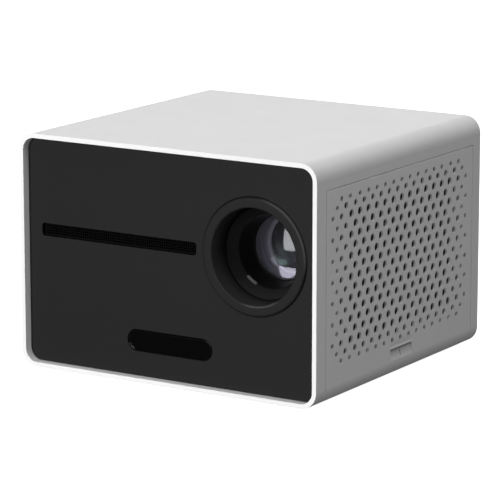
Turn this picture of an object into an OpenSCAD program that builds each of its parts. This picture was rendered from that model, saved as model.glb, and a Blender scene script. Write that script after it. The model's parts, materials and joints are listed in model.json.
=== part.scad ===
// Home projector with a motor-focused lens, a folded light engine and a tilt-out filter cover.
// Origin at the middle of the foot plane, +Z up, front towards -Y, filter cover on the +X side.

/* [Body] */
// Width of the body across its sides
body_w = 203; // [200:1:215]
// Depth of the body from its front rim to its back rim
body_d = 192; // [188:1:204]
// Height of the body without its feet
body_h = 140; // [137:1:150]
// Radius of the long edges
corner_r = 10.25; // [8:0.25:12]
// Thickness of the sleeve's wall
wall = 2.7; // [2.4:0.1:3]
// Height that the feet stand out below the body
foot_h = 2.5; // [1.5:0.5:4]
// Radius of a foot
foot_r = 7; // [5:0.5:9]
// Depth of the recess that a foot is glued into
foot_seat = 0.8; // [0.4:0.1:1.2]
// Distance of the feet's centres from the sides
foot_inset_x = 26; // [20:1:34]
// Distance of the feet's centres from the front and back rims
foot_inset_y = 24; // [22:1:32]

/* [Front panel] */
// How far the front panel sits behind the front rim
front_recess = 5.15; // [4:0.05:6]
// How far the rear panel sits behind the back rim
rear_recess = 2; // [2:0.5:3]
// Thickness of the front and rear panels
panel_t = 2.5; // [2.2:0.1:2.8]
// Distance between the sound slot and the trim ring
slot_gap = 4.7; // [4.5:0.1:20]
// Height of the sound slot
slot_h = 7.7; // [5:0.1:9]
// Distance from the body's left side to the sound slot
slot_inset = 12.1; // [10:0.1:13]
// Middle of the sound slot above the body's underside
slot_z = 82.5; // [76:0.5:90]
// Pitch of the square holes in the slot's mesh
mesh_pitch = 1.5; // [1.4:0.1:3]
// Width of the bars between the mesh's holes
mesh_bar = 0.5; // [0.4:0.1:0.8]
// Length of the blank pill-shaped plate
badge_w = 58.7; // [40:0.1:70]
// Height of the pill-shaped plate
badge_h = 13.1; // [10:0.1:16]
// Middle of the pill-shaped plate above the body's underside
badge_z = 23.9; // [20:0.1:32]

/* [Lens] */
// Distance from the body's right side to the lens axis
lens_inset = 43.8; // [43.4:0.1:46]
// Lens axis above the body's underside
lens_z = 82.4; // [78:0.1:86]
// Width of the trim ring's face
ring_w = 6.2; // [4:0.1:6.6]
// Height that the trim ring stands proud of the front panel
ring_proud = 1.6; // [0.8:0.1:2.4]
// Gap between the lens barrel and the tunnel round it
tunnel_gap = 1.2; // [0.8:0.1:1.6]
// Length of the tunnel behind the front panel's face
tunnel_len = 21; // [18:0.5:24]
// Outer radius of the lens barrel
barrel_r = 27; // [26:0.1:27.2]
// Length of the lens barrel
barrel_len = 64; // [60:0.5:68]
// How far the barrel's front lies behind the front panel at rest
barrel_recess = 12.2; // [10:0.1:13]
// Wall of the barrel round the bore that holds the glass
barrel_wall = 4.4; // [4:0.1:5.5]
// Step from the glass bore in to the foot of the barrel's front cone
mouth_step = 1; // [0.6:0.1:1.8]
// Step from the glass bore in to the clear aperture
aperture_step = 3.6; // [2:0.1:3.6]
// Distance from the barrel's front to the first glass
glass_depth = 19; // [15:0.5:19]

/* [Focus drive] */
// Travel of the barrel each way from rest
focus_travel = 5; // [3:0.5:6]
// Wall of the cam ring
cam_wall = 1.8; // [1.6:0.1:2]
// Teeth on the motor's pinion
pinion_teeth = 14; // [12:1:18]
// Module of the gear teeth
gear_module = 1; // [0.9:0.05:1]
// Teeth that pass the pinion each way from rest
teeth_each_way = 9; // [6:1:10]
// Width of the gear band
gear_w = 6; // [4:0.5:8]
// Radius of the three cam pins
cam_pin_r = 1.2; // [0.8:0.1:1.5]
// Radius of the focus motor's can
motor_r = 6; // [5:0.5:7]
// Direction from the lens axis to the motor's shaft, in degrees
motor_angle = 225; // [215:1:235]

/* [Filter cover] */
// Distance from the front rim to the side windows
window_front = 10.3; // [10:0.1:12]
// Distance from the back rim to the side windows
window_back = 9; // [8.5:0.1:11]
// Distance from the body's top to the side windows' top edge
window_head = 16.1; // [14:0.1:20]
// Thickness of the perforated panels
cover_t = 1.3; // [1.2:0.1:2.2]
// Seam along the filter cover's top edge
top_seam = 0.4; // [0.3:0.1:1.2]
// Seam along the filter cover's other edges
side_seam = 0.4; // [0.3:0.1:0.6]
// Radius of the two knuckles that the cover turns on
knuckle_r = 1.3; // [1.3:0.1:1.8]
// Distance from the cover's top edge down to its hinge
hinge_drop = 4; // [3.5:0.1:6]
// Radius of the cover's hinge pins
hinge_pin_r = 0.8; // [0.6:0.1:0.9]
// Length of the straight lip over the finger notch
notch_w = 25; // [18:1:30]
// Height of the lip above the body's underside
notch_z = 17.8; // [16:0.2:18.4]
// Depth of the finger notch under its lip
notch_depth = 1; // [0.8:0.1:1.4]
// Height of the finger notch below its lip
notch_h = 7; // [5:0.5:7]
// Depth of the shallow hollow over the lip, where a nail is led in
lead_in = 0.35; // [0.1:0.05:0.6]
// Depth of the filter's frame
filter_t = 6.6; // [5:0.1:7]

/* [Perforation] */
// Distance between holes in a row
hole_pitch = 9.63; // [9:0.01:10]
// Plain border that the holes leave inside the cover's edges
hole_margin = 1; // [0.5:0.1:6]
// Radius of the inner holes
hole_r = 2.45; // [1.8:0.05:2.6]
// Radius of the holes in the ring next to the border
mid_hole_r = 2; // [1.5:0.05:2.2]
// Radius of the border holes
edge_hole_r = 1.55; // [1:0.05:1.8]
// Height of the web between neighbouring rows
hole_web = 1.17; // [0.9:0.01:1.2]
// Extra step outwards of the border holes
edge_step = 1.2; // [0:0.1:1.4]

/* [Light engine] */
// Distance from the front panel's face to the light engine's front wall
engine_back = 96.85; // [94:0.5:100]
// Clear space between the light engine and the rear panel
engine_room = 7.5; // [5.5:0.5:12]
// Height of the engine's tunnel, inside
engine_h = 50; // [48:1:54]
// Wall of the engine box
engine_wall = 2; // [1.6:0.1:2.4]
// Clear space between the light engine's mirror end and the intake guard
guard_room = 2; // [1.5:0.1:6]
// Thickness of the fold mirror
mirror_t = 2; // [1.5:0.1:2.4]
// Thickness of the LCD panel
lcd_t = 3; // [2:0.1:4]
// Thickness of a Fresnel lens
fresnel_t = 2; // [1.5:0.1:2.5]
// Distance from the condenser lens to the first plate in the engine
condenser_gap = 10; // [4:0.5:14]
// Distance from the last plate in the engine to the fold mirror
mirror_gap = 20.77; // [12:0.01:26]
// How far the condenser lens stays inside the tunnel's height, above and below
condenser_inset = 1.5; // [1:0.5:5]
// Radius of the LED's light window
led_window_r = 12; // [9:0.5:14]

/* [Cooling] */
// How far the exhaust fan stays inside the light engine's width, on each side
fan_inset = 2; // [0:0.5:6]
// Depth of the exhaust fan
fan_t = 15; // [12:1:16]
// Side of the LCD fan
lcd_fan_w = 40; // [36:1:42]
// Depth of the LCD fan
lcd_fan_t = 10; // [8:1:12]
// Height of the LED heat sink's fins
fin_h = 18; // [14:1:22]
// Thickness of a fin
fin_t = 1.2; // [0.8:0.1:1.6]
// Distance between fins
fin_pitch = 4.2; // [3.4:0.1:5]

/* [Electronics] */
// Thickness of the circuit boards
board_t = 1.6; // [1:0.1:2]
// Height of the boards' standoffs above the tray
standoff_h = 6; // [5:0.5:8]
// Radius of the power button's cap
button_r = 5.5; // [4:0.5:7]
// Travel of the power button
button_travel = 0.8; // [0.4:0.1:1.2]

/* [Base] */
// Thickness of the base tray
tray_t = 2; // [1.6:0.1:2.6]
// Radius of the tapped hole in the tripod bush
bush_bore_r = 2.6; // [2.4:0.05:3]
// Depth of the tapped hole in the tripod bush
bush_depth = 10; // [8:0.5:11]
// Outer radius of the tripod bush
bush_r = 5.4; // [4.8:0.1:6]

/* [Fits] */
// Gap between moulded pieces that sit side by side
fit_gap = 0.2; // [0.1:0.05:0.3]
// Radial clearance of a running shaft, pin or sliding barrel
run_gap = 0.06; // [0.03:0.01:0.1]
// Clearance round a cam pin in its slots
pin_play = 0.25; // [0.2:0.05:0.35]
// Backlash cut from each gear's teeth
tooth_play = 0.2; // [0.1:0.05:0.3]
// Radius of a screw's shank
screw_r = 1.5; // [1.2:0.1:1.6]
// Radius of a screw's head
head_r = 2.8; // [2.4:0.1:3]
// Height of a screw's head
head_h = 1.6; // [1.2:0.1:1.8]

/* [Hidden] */
$fn = 64;

// Cuts run past a face by this much, so that no skin is left
over = 1;

// Faces of the body
front_y = -body_d / 2;
back_y = body_d / 2;
side_x = body_w / 2;
base_z = foot_h;
mid_z = base_z + body_h / 2;
floor_z = base_z + wall;
panel_y = front_y + front_recess;
panel_back = panel_y + panel_t;
rear_face = back_y - rear_recess;
rear_front = rear_face - panel_t;
inside_w = body_w - 2 * wall;
inside_h = body_h - 2 * wall;
inside_r = corner_r - wall;

// Side windows and the ledges in front of and behind them
win_y0 = front_y + window_front;
win_y1 = back_y - window_back;
window_top = body_h - window_head;
win_z1 = base_z + window_top;
ledge_w = 4;
grille_lap = 2.5;
grille_z0 = base_z + corner_r + grille_lap - fit_gap + 0.1;
grille_flange = 1.5;

// Filter cover, its knuckle, and the filter behind it
cover_in = side_x - cover_t;
knuckle_x = side_x - knuckle_r;
cover_top = win_z1 - top_seam;
cover_mid = (win_y0 + win_y1) / 2;
cover_edge_r = 0.5;
knuckle_z = cover_top - hinge_drop;
filter_x = cover_in - filter_t;
guard_t = 1.6;
guard_x1 = filter_x - 2 * fit_gap;
guard_x0 = guard_x1 - guard_t;
lip_z = base_z + notch_z;
lip_h = 1.3;
lead_in_h = 4.5;
pry_w = 1;
pry_h = 3.2;
pry_depth = 1.5;
pad_t = 1.8;
pad_edge = 1;

// Holes that fit the cover, counted outwards from its middle row and column
top_margin = hinge_drop + 0.2;
edge_rings = edge_hole_r + mid_hole_r;
row_room = cover_top - top_margin - mid_z - edge_hole_r;
plain_room = row_room - 2 * hole_web - edge_rings - mid_hole_r - hole_r;
row_reach = floor(plain_room / (2 * hole_r + hole_web)) + 2;
hole_rows = 2 * row_reach + 1;
column_room = min(-win_y0, win_y1) - side_seam - hole_margin - edge_hole_r - edge_step;
hole_columns = 2 * floor(column_room / hole_pitch) + 1;

// Screws and posts
pilot_r = screw_r + 0.05;
pass_r = screw_r + 0.2;
boss_r = screw_r + 2;
tray_z = floor_z + tray_t;
board_z = tray_z + standoff_h;
board_top = board_z + board_t;

// Lens
tunnel_r = barrel_r + tunnel_gap;
ring_r = tunnel_r + ring_w;
glass_bore = barrel_r - barrel_wall;
mouth_r = glass_bore - mouth_step;
aperture_r = glass_bore - aperture_step;
lens_cx = side_x - lens_inset;
lens_cz = base_z + lens_z;
barrel_y = panel_y + barrel_recess;
cam_y = barrel_y + 28.5;
cam_slot_half = focus_travel + cam_pin_r + pin_play;
holder_in = barrel_r + run_gap;
holder_out = holder_in + 1.5;
cam_in = holder_out + run_gap;
cam_out = cam_in + cam_wall;
tooth_root = 1.25;
ring_teeth = ceil(2 * (cam_out + 0.3) / gear_module + 2 * tooth_root);
ring_pitch_r = ring_teeth * gear_module / 2;
pinion_pitch_r = pinion_teeth * gear_module / 2;
turn_each_way = teeth_each_way * 360 / ring_teeth;
gear_y0 = cam_y + cam_slot_half + 1;
gear_y1 = gear_y0 + gear_w;
cam_y0 = cam_y - cam_slot_half - 4;
clip_t = 1.5;
clip_y0 = cam_y0 - fit_gap - clip_t;
holder_y0 = clip_y0 - 1.5;
bracket_y0 = gear_y1 + fit_gap;
bracket_y1 = bracket_y0 + 2.5;
gear_distance = ring_pitch_r + pinion_pitch_r;
motor_x = lens_cx + gear_distance * cos(motor_angle);
motor_z = lens_cz + gear_distance * sin(motor_angle);
shaft_r = 1.5;

// Light engine: a tunnel along X, then a mirror that turns the light to the lens
grille_in = -side_x + wall + grille_flange;
fan_x0 = grille_in + fit_gap;
fan_x1 = fan_x0 + fan_t;
sink_base = 4;
sink_x1 = fan_x1 + fin_h + sink_base;
led_board_t = 2;
engine_x0 = sink_x1 + led_board_t;
tunnel_x0 = engine_x0 + engine_wall;
engine_y = panel_y + engine_back;
tunnel_y0 = engine_y + engine_wall;
tunnel_y1 = rear_front - engine_room - engine_wall;
engine_w = tunnel_y1 - tunnel_y0;
mirror_y = (tunnel_y0 + tunnel_y1) / 2;
beside_lens = guard_x0 - guard_room - engine_wall - fit_gap - lens_cx;
mirror_w = min(2 * (beside_lens / cos(45) - mirror_t), (engine_w - 2 * fit_gap) / cos(45) - 2 * mirror_t);
condenser_r = engine_h / 2 - condenser_inset;
fan_w = engine_w - 2 * fan_inset;
mirror_reach = (mirror_w / 2 + mirror_t) * cos(45);
tunnel_x1 = lens_cx + mirror_reach + fit_gap;
mirror_line = lens_cx + mirror_y + (mirror_t + 0.1) * sqrt(2);
tunnel_z0 = lens_cz - engine_h / 2;
tunnel_z1 = lens_cz + engine_h / 2;
engine_z0 = tunnel_z0 - engine_wall;
plate_w = engine_w - 2 * fit_gap;
plate_h = engine_h - 0.3;
collar_t = 4;
condenser_edge = 3;
condenser_bulge = 9;
first_plate = tunnel_x0 + collar_t + condenser_edge + condenser_bulge + condenser_gap;
last_plate = mirror_line - tunnel_y1 - mirror_gap;
plate_step = (last_plate - first_plate) / 3;
lcd_x = first_plate + 2 * plate_step;
heat_glass_t = 2;
lid_t = 2;
engine_post_r = 4;
engine_posts = [
    [engine_x0 + 9, engine_y + 6],
    [engine_x0 + 9, tunnel_y1 + engine_wall - 6],
    [tunnel_x1 - 5, engine_y + 6]
];

// Boards
board_gap = 5.7;
board_edge = 5;
main_d = 66;
main_x1 = guard_x0 - 13;
main_x0 = engine_posts[0][0] + engine_post_r + board_gap;
main_w = main_x1 - main_x0;
main_y1 = rear_front - 1.5;
main_y0 = main_y1 - main_d;
power_x0 = -side_x + wall + 7;
power_x1 = engine_posts[0][0] - engine_post_r - 2;
power_y0 = engine_y - 11;
power_y1 = rear_front - 22;
socket_depth = 14;
socket_y0 = rear_face - socket_depth;
hdmi_h = 5.6;
usb_h = 6.2;
jack_h = 7;
hdmi_w = 15;
usb_w = 13.2;
jack_w = 8;
sockets_x0 = main_x0 + 10.5;
sockets_x1 = main_x1 - 18;
socket_gap = (sockets_x1 - sockets_x0 - 2 * hdmi_w - 2 * usb_w - jack_w) / 4;
hdmi_x = [for (i = [0, 1]) sockets_x0 + hdmi_w / 2 + i * (hdmi_w + socket_gap)];
usb_x = [for (i = [0, 1]) hdmi_x[1] + (hdmi_w + usb_w) / 2 + socket_gap + i * (usb_w + socket_gap)];
jack_x = sockets_x1 - jack_w / 2;
inlet_w = 24;
inlet_h = 14;
inlet_depth = 17;
inlet_x = power_x0 + inlet_w / 2 + 8;
inlet_z = base_z + 22;
button_x = lens_cx + 14;
button_z = mid_z + 30;
button_flange = 1.2;
button_rest = 0.3;
button_post_r = 2.5;
button_post_x = button_r + button_flange + button_post_r + 2 * fit_gap;
button_screw_r = 1;
button_board_y = rear_front - 9.6;
stem_end = rear_front - 4;

// Sound
slot_w = body_w - slot_inset - lens_inset - ring_r - slot_gap;
slot_x = -side_x + slot_inset + slot_w / 2;
slot_cz = base_z + slot_z;
speaker_y0 = panel_back + 8;
speaker_depth = 35;
speaker_wall = 2;
speaker_below = 34;
speaker_above = 30;
speaker_y1 = speaker_y0 + speaker_depth;
speaker_z0 = slot_cz - speaker_below;
speaker_z1 = slot_cz + speaker_above;
speaker_step = slot_w / 4;
speaker_r = 19;
speaker_post_inset = 14;

module along_y(from, to) {
    translate([0, to, 0]) rotate([90, 0, 0]) linear_extrude(to - from) children();
}

module along_x(from, to) {
    translate([from, 0, 0]) rotate([90, 0, 90]) linear_extrude(to - from) children();
}

module rod_y(r, from, to) {
    translate([0, from, 0]) rotate([-90, 0, 0]) cylinder(r = r, h = to - from);
}

module rod_x(r, from, to) {
    translate([from, 0, 0]) rotate([0, 90, 0]) cylinder(r = r, h = to - from);
}

// A profile of [radius, y] points turned round the Y axis
module turned_y(points) {
    rotate([-90, 0, 0]) rotate_extrude() polygon(points);
}

module round_rect(w, h, r) {
    square([w - 2 * r, h], center = true);
    square([w, h - 2 * r], center = true);
    for (x = [-1, 1], y = [-1, 1])
        translate([x * (w / 2 - r), y * (h / 2 - r)]) circle(r);
}

module pill(w, h) {
    round_rect(w, h, h / 2 - 0.01);
}

// Points of an arc from one angle to another
function arc(cx, cy, r, from, to, steps = 8) =
    [for (i = [0:steps]) let (a = from + (to - from) * i / steps) [cx + r * cos(a), cy + r * sin(a)]];

module at_lens() {
    translate([lens_cx, 0, lens_cz]) children();
}

// A pan-head screw along +Z with the underside of its head at the origin, shank downwards
module screw(length) {
    color("silver") {
        translate([0, 0, -length]) cylinder(r = screw_r, h = length + head_h / 2);
        difference() {
            cylinder(r1 = head_r, r2 = head_r - 0.4, h = head_h);
            for (a = [0, 90]) rotate([0, 0, a])
                translate([-head_r / 2, -0.3, head_h / 2]) cube([head_r, 0.6, head_h]);
        }
    }
}

// Rows and columns of the side panels' holes: staggered rows, corners cut, holes that shrink
// in the two rings next to the border and a web of one height between all rows
function ring_of(row, column, count) =
    min(row, hole_rows - 1 - row, column, count - 1 - column);
function ring_radius(ring) = ring == 0 ? edge_hole_r : ring == 1 ? mid_hole_r : hole_r;
function row_count(row) =
    row == 0 || row == hole_rows - 1 ? hole_columns - 2 : hole_columns - row % 2;
function row_height(steps, reach) = steps == 0 ? 0 :
    row_height(steps - 1, reach) + hole_web
    + ring_radius(reach - steps + 1) + ring_radius(reach - steps);

module perforation() {
    for (row = [0:hole_rows - 1]) {
        count = row_count(row);
        from_middle = row - row_reach;
        height = sign(from_middle) * row_height(abs(from_middle), row_reach);
        for (column = [0:count - 1]) {
            ring = ring_of(row, column, count);
            side = column - (count - 1) / 2;
            ends = min(column, count - 1 - column);
            step = ends < 2 ? edge_step * sign(side) : 0;
            translate([side * hole_pitch + step, mid_z + height])
                circle(ring_radius(ring), $fn = 24);
        }
    }
}

module body_outline() {
    translate([0, mid_z]) round_rect(body_w, body_h, corner_r);
}

module inside_outline(inset = 0) {
    translate([0, mid_z]) round_rect(inside_w - 2 * inset, inside_h - 2 * inset, inside_r);
}

module tray_screw_places() {
    beside_feet = side_x - foot_inset_x - foot_r - head_r - 5;
    for (x = [-beside_feet, 0, beside_feet], y = [win_y0 + 8, win_y1 - 8])
        translate([x, y, 0]) children();
}

module foot_places() {
    for (x = [-1, 1], y = [-1, 1])
        translate([x * (side_x - foot_inset_x), y * (back_y - foot_inset_y), base_z]) children();
}

module panel_screw_places() {
    for (x = [-1, 1], z = [-1, 1])
        translate([x * (inside_w / 2 - boss_r - 2), rear_face, mid_z + z * (inside_h / 2 - boss_r - 2)])
            children();
}

module sleeve() color("whitesmoke") difference() {
    union() {
        difference() {
            along_y(front_y, back_y) body_outline();
            along_y(front_y - over, back_y + over) inside_outline();
        }
        // Ledges that the front and rear panels seat on
        for (span = [[panel_back, win_y0], [win_y1, rear_front]])
            along_y(span[0], span[1]) difference() {
                inside_outline();
                inside_outline(ledge_w);
            }
        panel_screw_places()
            rotate([90, 0, 0]) translate([0, 0, panel_t])
                cylinder(r = boss_r + 1, h = rear_front - win_y1);
    }
    // Right window, which runs round the lower edge to the underside
    translate([side_x - corner_r, win_y0, base_z - over])
        cube([corner_r + over, win_y1 - win_y0, window_top + over]);
    // Left window
    translate([-side_x - over, win_y0, grille_z0])
        cube([corner_r, win_y1 - win_y0, win_z1 - grille_z0]);
    // Way in for the tray, under the rear ledge
    translate([-side_x + corner_r, win_y1 - over, floor_z])
        cube([body_w - 2 * corner_r, rear_front - win_y1 + 2 * over, ledge_w]);
    // Bores of the filter cover's hinge pins
    translate([knuckle_x, 0, knuckle_z])
        rod_y(hinge_pin_r + run_gap, win_y0 - 2.5, win_y1 + 2.5);
    tray_screw_places() {
        translate([0, 0, base_z - over]) cylinder(r = pass_r, h = wall + 2 * over);
        translate([0, 0, base_z - over]) cylinder(r = head_r + 0.4, h = head_h + over);
    }
    foot_places() cylinder(r = foot_r + fit_gap, h = foot_seat);
    translate([0, 0, base_z - over]) cylinder(r = bush_r + fit_gap, h = wall + 2 * over);
    panel_screw_places() rotate([90, 0, 0]) cylinder(r = pilot_r, h = panel_t + 4.4);
}

module ring_seat_hole(r) {
    translate([lens_cx, lens_cz]) circle(r, $fn = 96);
}

module front_panel() color([0.13, 0.13, 0.14]) difference() {
    union() {
        along_y(panel_y, panel_back) difference() {
            translate([0, mid_z])
                round_rect(inside_w - 2 * fit_gap, inside_h - 2 * fit_gap, inside_r - fit_gap);
            translate([slot_x, slot_cz]) round_rect(slot_w, slot_h, 2);
            ring_seat_hole(tunnel_r + 2);
        }
        // Stiffening ribs and a collar round the lens behind the panel
        for (z = [base_z + badge_z + badge_h, mid_z + inside_h / 2 - ledge_w - 8])
            along_y(panel_back, win_y0 - fit_gap)
                translate([-inside_w / 2 + ledge_w + 1, z]) square([inside_w - 2 * ledge_w - 2, 1.6]);
    }
    along_y(panel_y - over, panel_y + 1.3) ring_seat_hole(ring_r + 0.35);
    along_y(panel_y - over, panel_y + 1.2)
        translate([0, base_z + badge_z]) pill(badge_w, badge_h);
    along_y(panel_back - over, win_y0) ring_seat_hole(tunnel_r + 2);
}

module lens_ring() color([0.1, 0.1, 0.11]) at_lens() turned_y(concat(
    [[ring_r, panel_y + 1.3]],
    arc(ring_r - 1.4, panel_y + 1.4 - ring_proud, 1.4, 0, -90),
    arc(tunnel_r + 0.8, panel_y + 0.8 - ring_proud, 0.8, -90, -180),
    [[tunnel_r, panel_y + tunnel_len], [tunnel_r + 1.8, panel_y + tunnel_len],
     [tunnel_r + 1.8, panel_y + 1.3]]
), $fn = 96);

module slot_mesh() color([0.05, 0.05, 0.05]) {
    columns = floor((slot_w - 2) / mesh_pitch);
    rows = floor((slot_h - 1) / mesh_pitch);
    hole = mesh_pitch - mesh_bar;
    along_y(panel_back, panel_back + 1) translate([slot_x, slot_cz]) difference() {
        square([slot_w + 6, slot_h + 6], center = true);
        for (i = [0:columns - 1], j = [0:rows - 1])
            translate([(i - (columns - 1) / 2) * mesh_pitch, (j - (rows - 1) / 2) * mesh_pitch])
                square(hole, center = true);
    }
}

module pill_plate() color([0.04, 0.04, 0.05]) difference() {
    along_y(panel_y - 0.3, panel_y + 1.2) translate([0, base_z + badge_z])
        pill(badge_w - 2 * fit_gap, badge_h - 2 * fit_gap);
    along_y(panel_y - over, panel_y + 0.2) translate([0, base_z + badge_z])
        pill(badge_w - 2 * fit_gap - 1.8, badge_h - 2 * fit_gap - 1.8);
}

module rear_panel() color([0.13, 0.13, 0.14]) difference() {
    union() {
        along_y(rear_front, rear_face) difference() {
            translate([0, mid_z])
                round_rect(inside_w - 2 * fit_gap, inside_h - 2 * fit_gap, inside_r - fit_gap);
            // Vents behind the heat sink
            for (i = [0:17], row = [0, 1])
                translate([power_x0 + 6 + 5 * i, lens_cz - 26 + 32 * row]) round_rect(2.4, 26, 1.19);
            for (x = hdmi_x) translate([x, board_top + hdmi_h / 2])
                round_rect(hdmi_w + 1.2, hdmi_h + 1.2, 1);
            for (x = usb_x) translate([x, board_top + usb_h / 2]) round_rect(usb_w + 1.2, usb_h + 1.2, 1);
            translate([jack_x, board_top + jack_h / 2]) circle(jack_w / 2 + fit_gap);
            translate([inlet_x, inlet_z]) round_rect(inlet_w + 2 * fit_gap, inlet_h + 2 * fit_gap, 2);
            translate([button_x, button_z]) circle(button_r + 0.3);
        }
        for (side = [-1, 1]) translate([button_x + side * button_post_x, 0, button_z])
            rod_y(button_post_r, button_board_y, rear_front);
    }
    panel_screw_places() rotate([90, 0, 0]) {
        translate([0, 0, -over]) cylinder(r = pass_r, h = panel_t + 2 * over);
        translate([0, 0, -over]) cylinder(r = head_r + 0.3, h = over + 1);
    }
    for (side = [-1, 1]) translate([button_x + side * button_post_x, 0, button_z])
        rod_y(button_screw_r, button_board_y - over, rear_front - 2);
}

// The filter cover's section: a plate that follows the body's outline round its lower edge
module cover_section() {
    difference() {
        body_outline();
        translate([0, mid_z])
            round_rect(body_w - 2 * cover_t, body_h - 2 * cover_t, corner_r - cover_t);
        translate([-body_w, 0]) square([body_w + side_x - corner_r + side_seam, 2 * body_h]);
        translate([0, cover_top - cover_edge_r]) square([body_w, body_h]);
    }
    translate([cover_in, cover_top - cover_edge_r]) {
        square([cover_t - cover_edge_r, cover_edge_r]);
        translate([cover_t - cover_edge_r, 0]) circle(cover_edge_r);
    }
}

module filter_cover() color("gainsboro") {
    difference() {
        union() {
            along_y(win_y0 + side_seam, win_y1 - side_seam) cover_section();
            // Pad behind the finger notch
            translate([cover_in - pad_t, cover_mid - notch_w / 2 - 3, lip_z - notch_h - pad_edge])
                cube([pad_t + 0.3, notch_w + 6, notch_h + 2 * pad_edge]);
            // Knuckles at both ends, beside the filter's frame
            translate([knuckle_x, 0, knuckle_z]) {
                rod_y(knuckle_r, win_y0 + side_seam, filter_y0 - 0.1);
                rod_y(knuckle_r, filter_y1 + 0.1, win_y1 - side_seam);
            }
        }
        along_x(cover_in - over, side_x + over) perforation();
        // Finger notch: a hollow that is deepest under its straight lip
        finger_r = (notch_h * notch_h + notch_depth * notch_depth) / (2 * notch_depth);
        along_y(cover_mid - notch_w / 2, cover_mid + notch_w / 2) intersection() {
            translate([side_x + finger_r - notch_depth, lip_z]) circle(finger_r);
            translate([side_x - corner_r, lip_z - corner_r]) square([2 * corner_r, corner_r]);
        }
        // Hollow over the lip: it deepens slowly downwards and rises again to the lip's edge
        along_y(cover_mid - notch_w / 2, cover_mid + notch_w / 2) polygon([
            [side_x + over, lip_z + lead_in_h], [side_x, lip_z + lead_in_h],
            [side_x - lead_in, lip_z + lip_h], [side_x, lip_z], [side_x + over, lip_z]
        ]);
        // Pry slot under the notch
        translate([side_x - notch_depth - pry_depth, cover_mid - pry_w / 2, lip_z - 2.4 - pry_h])
            cube([notch_depth + pry_depth, pry_w, pry_h]);
    }
    // Hinge pins at the outer ends of the knuckles
    translate([knuckle_x, 0, knuckle_z]) {
        rod_y(hinge_pin_r, win_y0 - 2.3, win_y0 + side_seam + 1);
        rod_y(hinge_pin_r, win_y1 - side_seam - 1, win_y1 + 2.3);
    }
}

filter_wall = 1.5;
filter_y0 = win_y0 + 2.5;
filter_y1 = win_y1 - 2.5;
filter_z0 = lip_z + 1.4;
filter_z1 = knuckle_z + 0.5;
filter_bar = 1.6;

// Openings of a lattice, on a rectangle from a corner
module lattice(y0, z0, w, h, columns, rows, bar) {
    cell_w = (w + bar) / columns;
    cell_h = (h + bar) / rows;
    for (i = [0:columns - 1], j = [0:rows - 1])
        translate([y0 + i * cell_w, z0 + j * cell_h]) square([cell_w - bar, cell_h - bar]);
}

module filter_frame() color([0.2, 0.2, 0.22]) difference() {
    along_x(filter_x, cover_in) translate([filter_y0, filter_z0])
        square([filter_y1 - filter_y0, filter_z1 - filter_z0]);
    along_x(filter_x + filter_bar, cover_in + over)
        translate([filter_y0 + filter_wall, filter_z0 + filter_wall])
            square([filter_y1 - filter_y0 - 2 * filter_wall, filter_z1 - filter_z0 - 2 * filter_wall]);
    along_x(filter_x - over, cover_in) lattice(
        filter_y0 + filter_wall, filter_z0 + filter_wall,
        filter_y1 - filter_y0 - 2 * filter_wall, filter_z1 - filter_z0 - 2 * filter_wall,
        9, 6, filter_bar);
}

module filter_foam() color([0.08, 0.08, 0.09])
    along_x(filter_x + filter_bar, cover_in - 0.2)
        translate([filter_y0 + filter_wall + fit_gap, filter_z0 + filter_wall])
            square([filter_y1 - filter_y0 - 2 * (filter_wall + fit_gap),
                    filter_z1 - filter_z0 - 2 * filter_wall - fit_gap]);

module intake_guard() color([0.16, 0.16, 0.17]) {
    y0 = win_y0 + fit_gap;
    y1 = win_y1 - fit_gap;
    z1 = win_z1 + 2.2;
    along_x(guard_x0, guard_x1) difference() {
        translate([y0, tray_z]) square([y1 - y0, z1 - tray_z]);
        lattice(y0 + 4, base_z + corner_r + 6, y1 - y0 - 8, window_top - corner_r - 10, 9, 6, 2);
    }
    // Roof of the filter's space, under the side wall's top
    along_x(guard_x1, side_x - wall - fit_gap)
        translate([y0, win_z1 + 0.2]) square([y1 - y0, 2]);
}

module exhaust_grille() color("gainsboro") {
    w = win_y1 - win_y0 - 2 * fit_gap;
    h = win_z1 - grille_z0 - 2 * fit_gap;
    cy = (win_y0 + win_y1) / 2;
    cz = (win_z1 + grille_z0) / 2;
    difference() {
        union() {
            along_x(-side_x, -side_x + wall) translate([cy, cz]) square([w, h], center = true);
            along_x(-side_x + wall, grille_in)
                translate([cy, cz]) square([w, h + 2 * grille_lap], center = true);
        }
        along_x(-side_x + cover_t, grille_in + over)
            translate([cy, cz]) square([w - 6, h - 3], center = true);
        along_x(-side_x - over, grille_in) perforation();
    }
}

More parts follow.
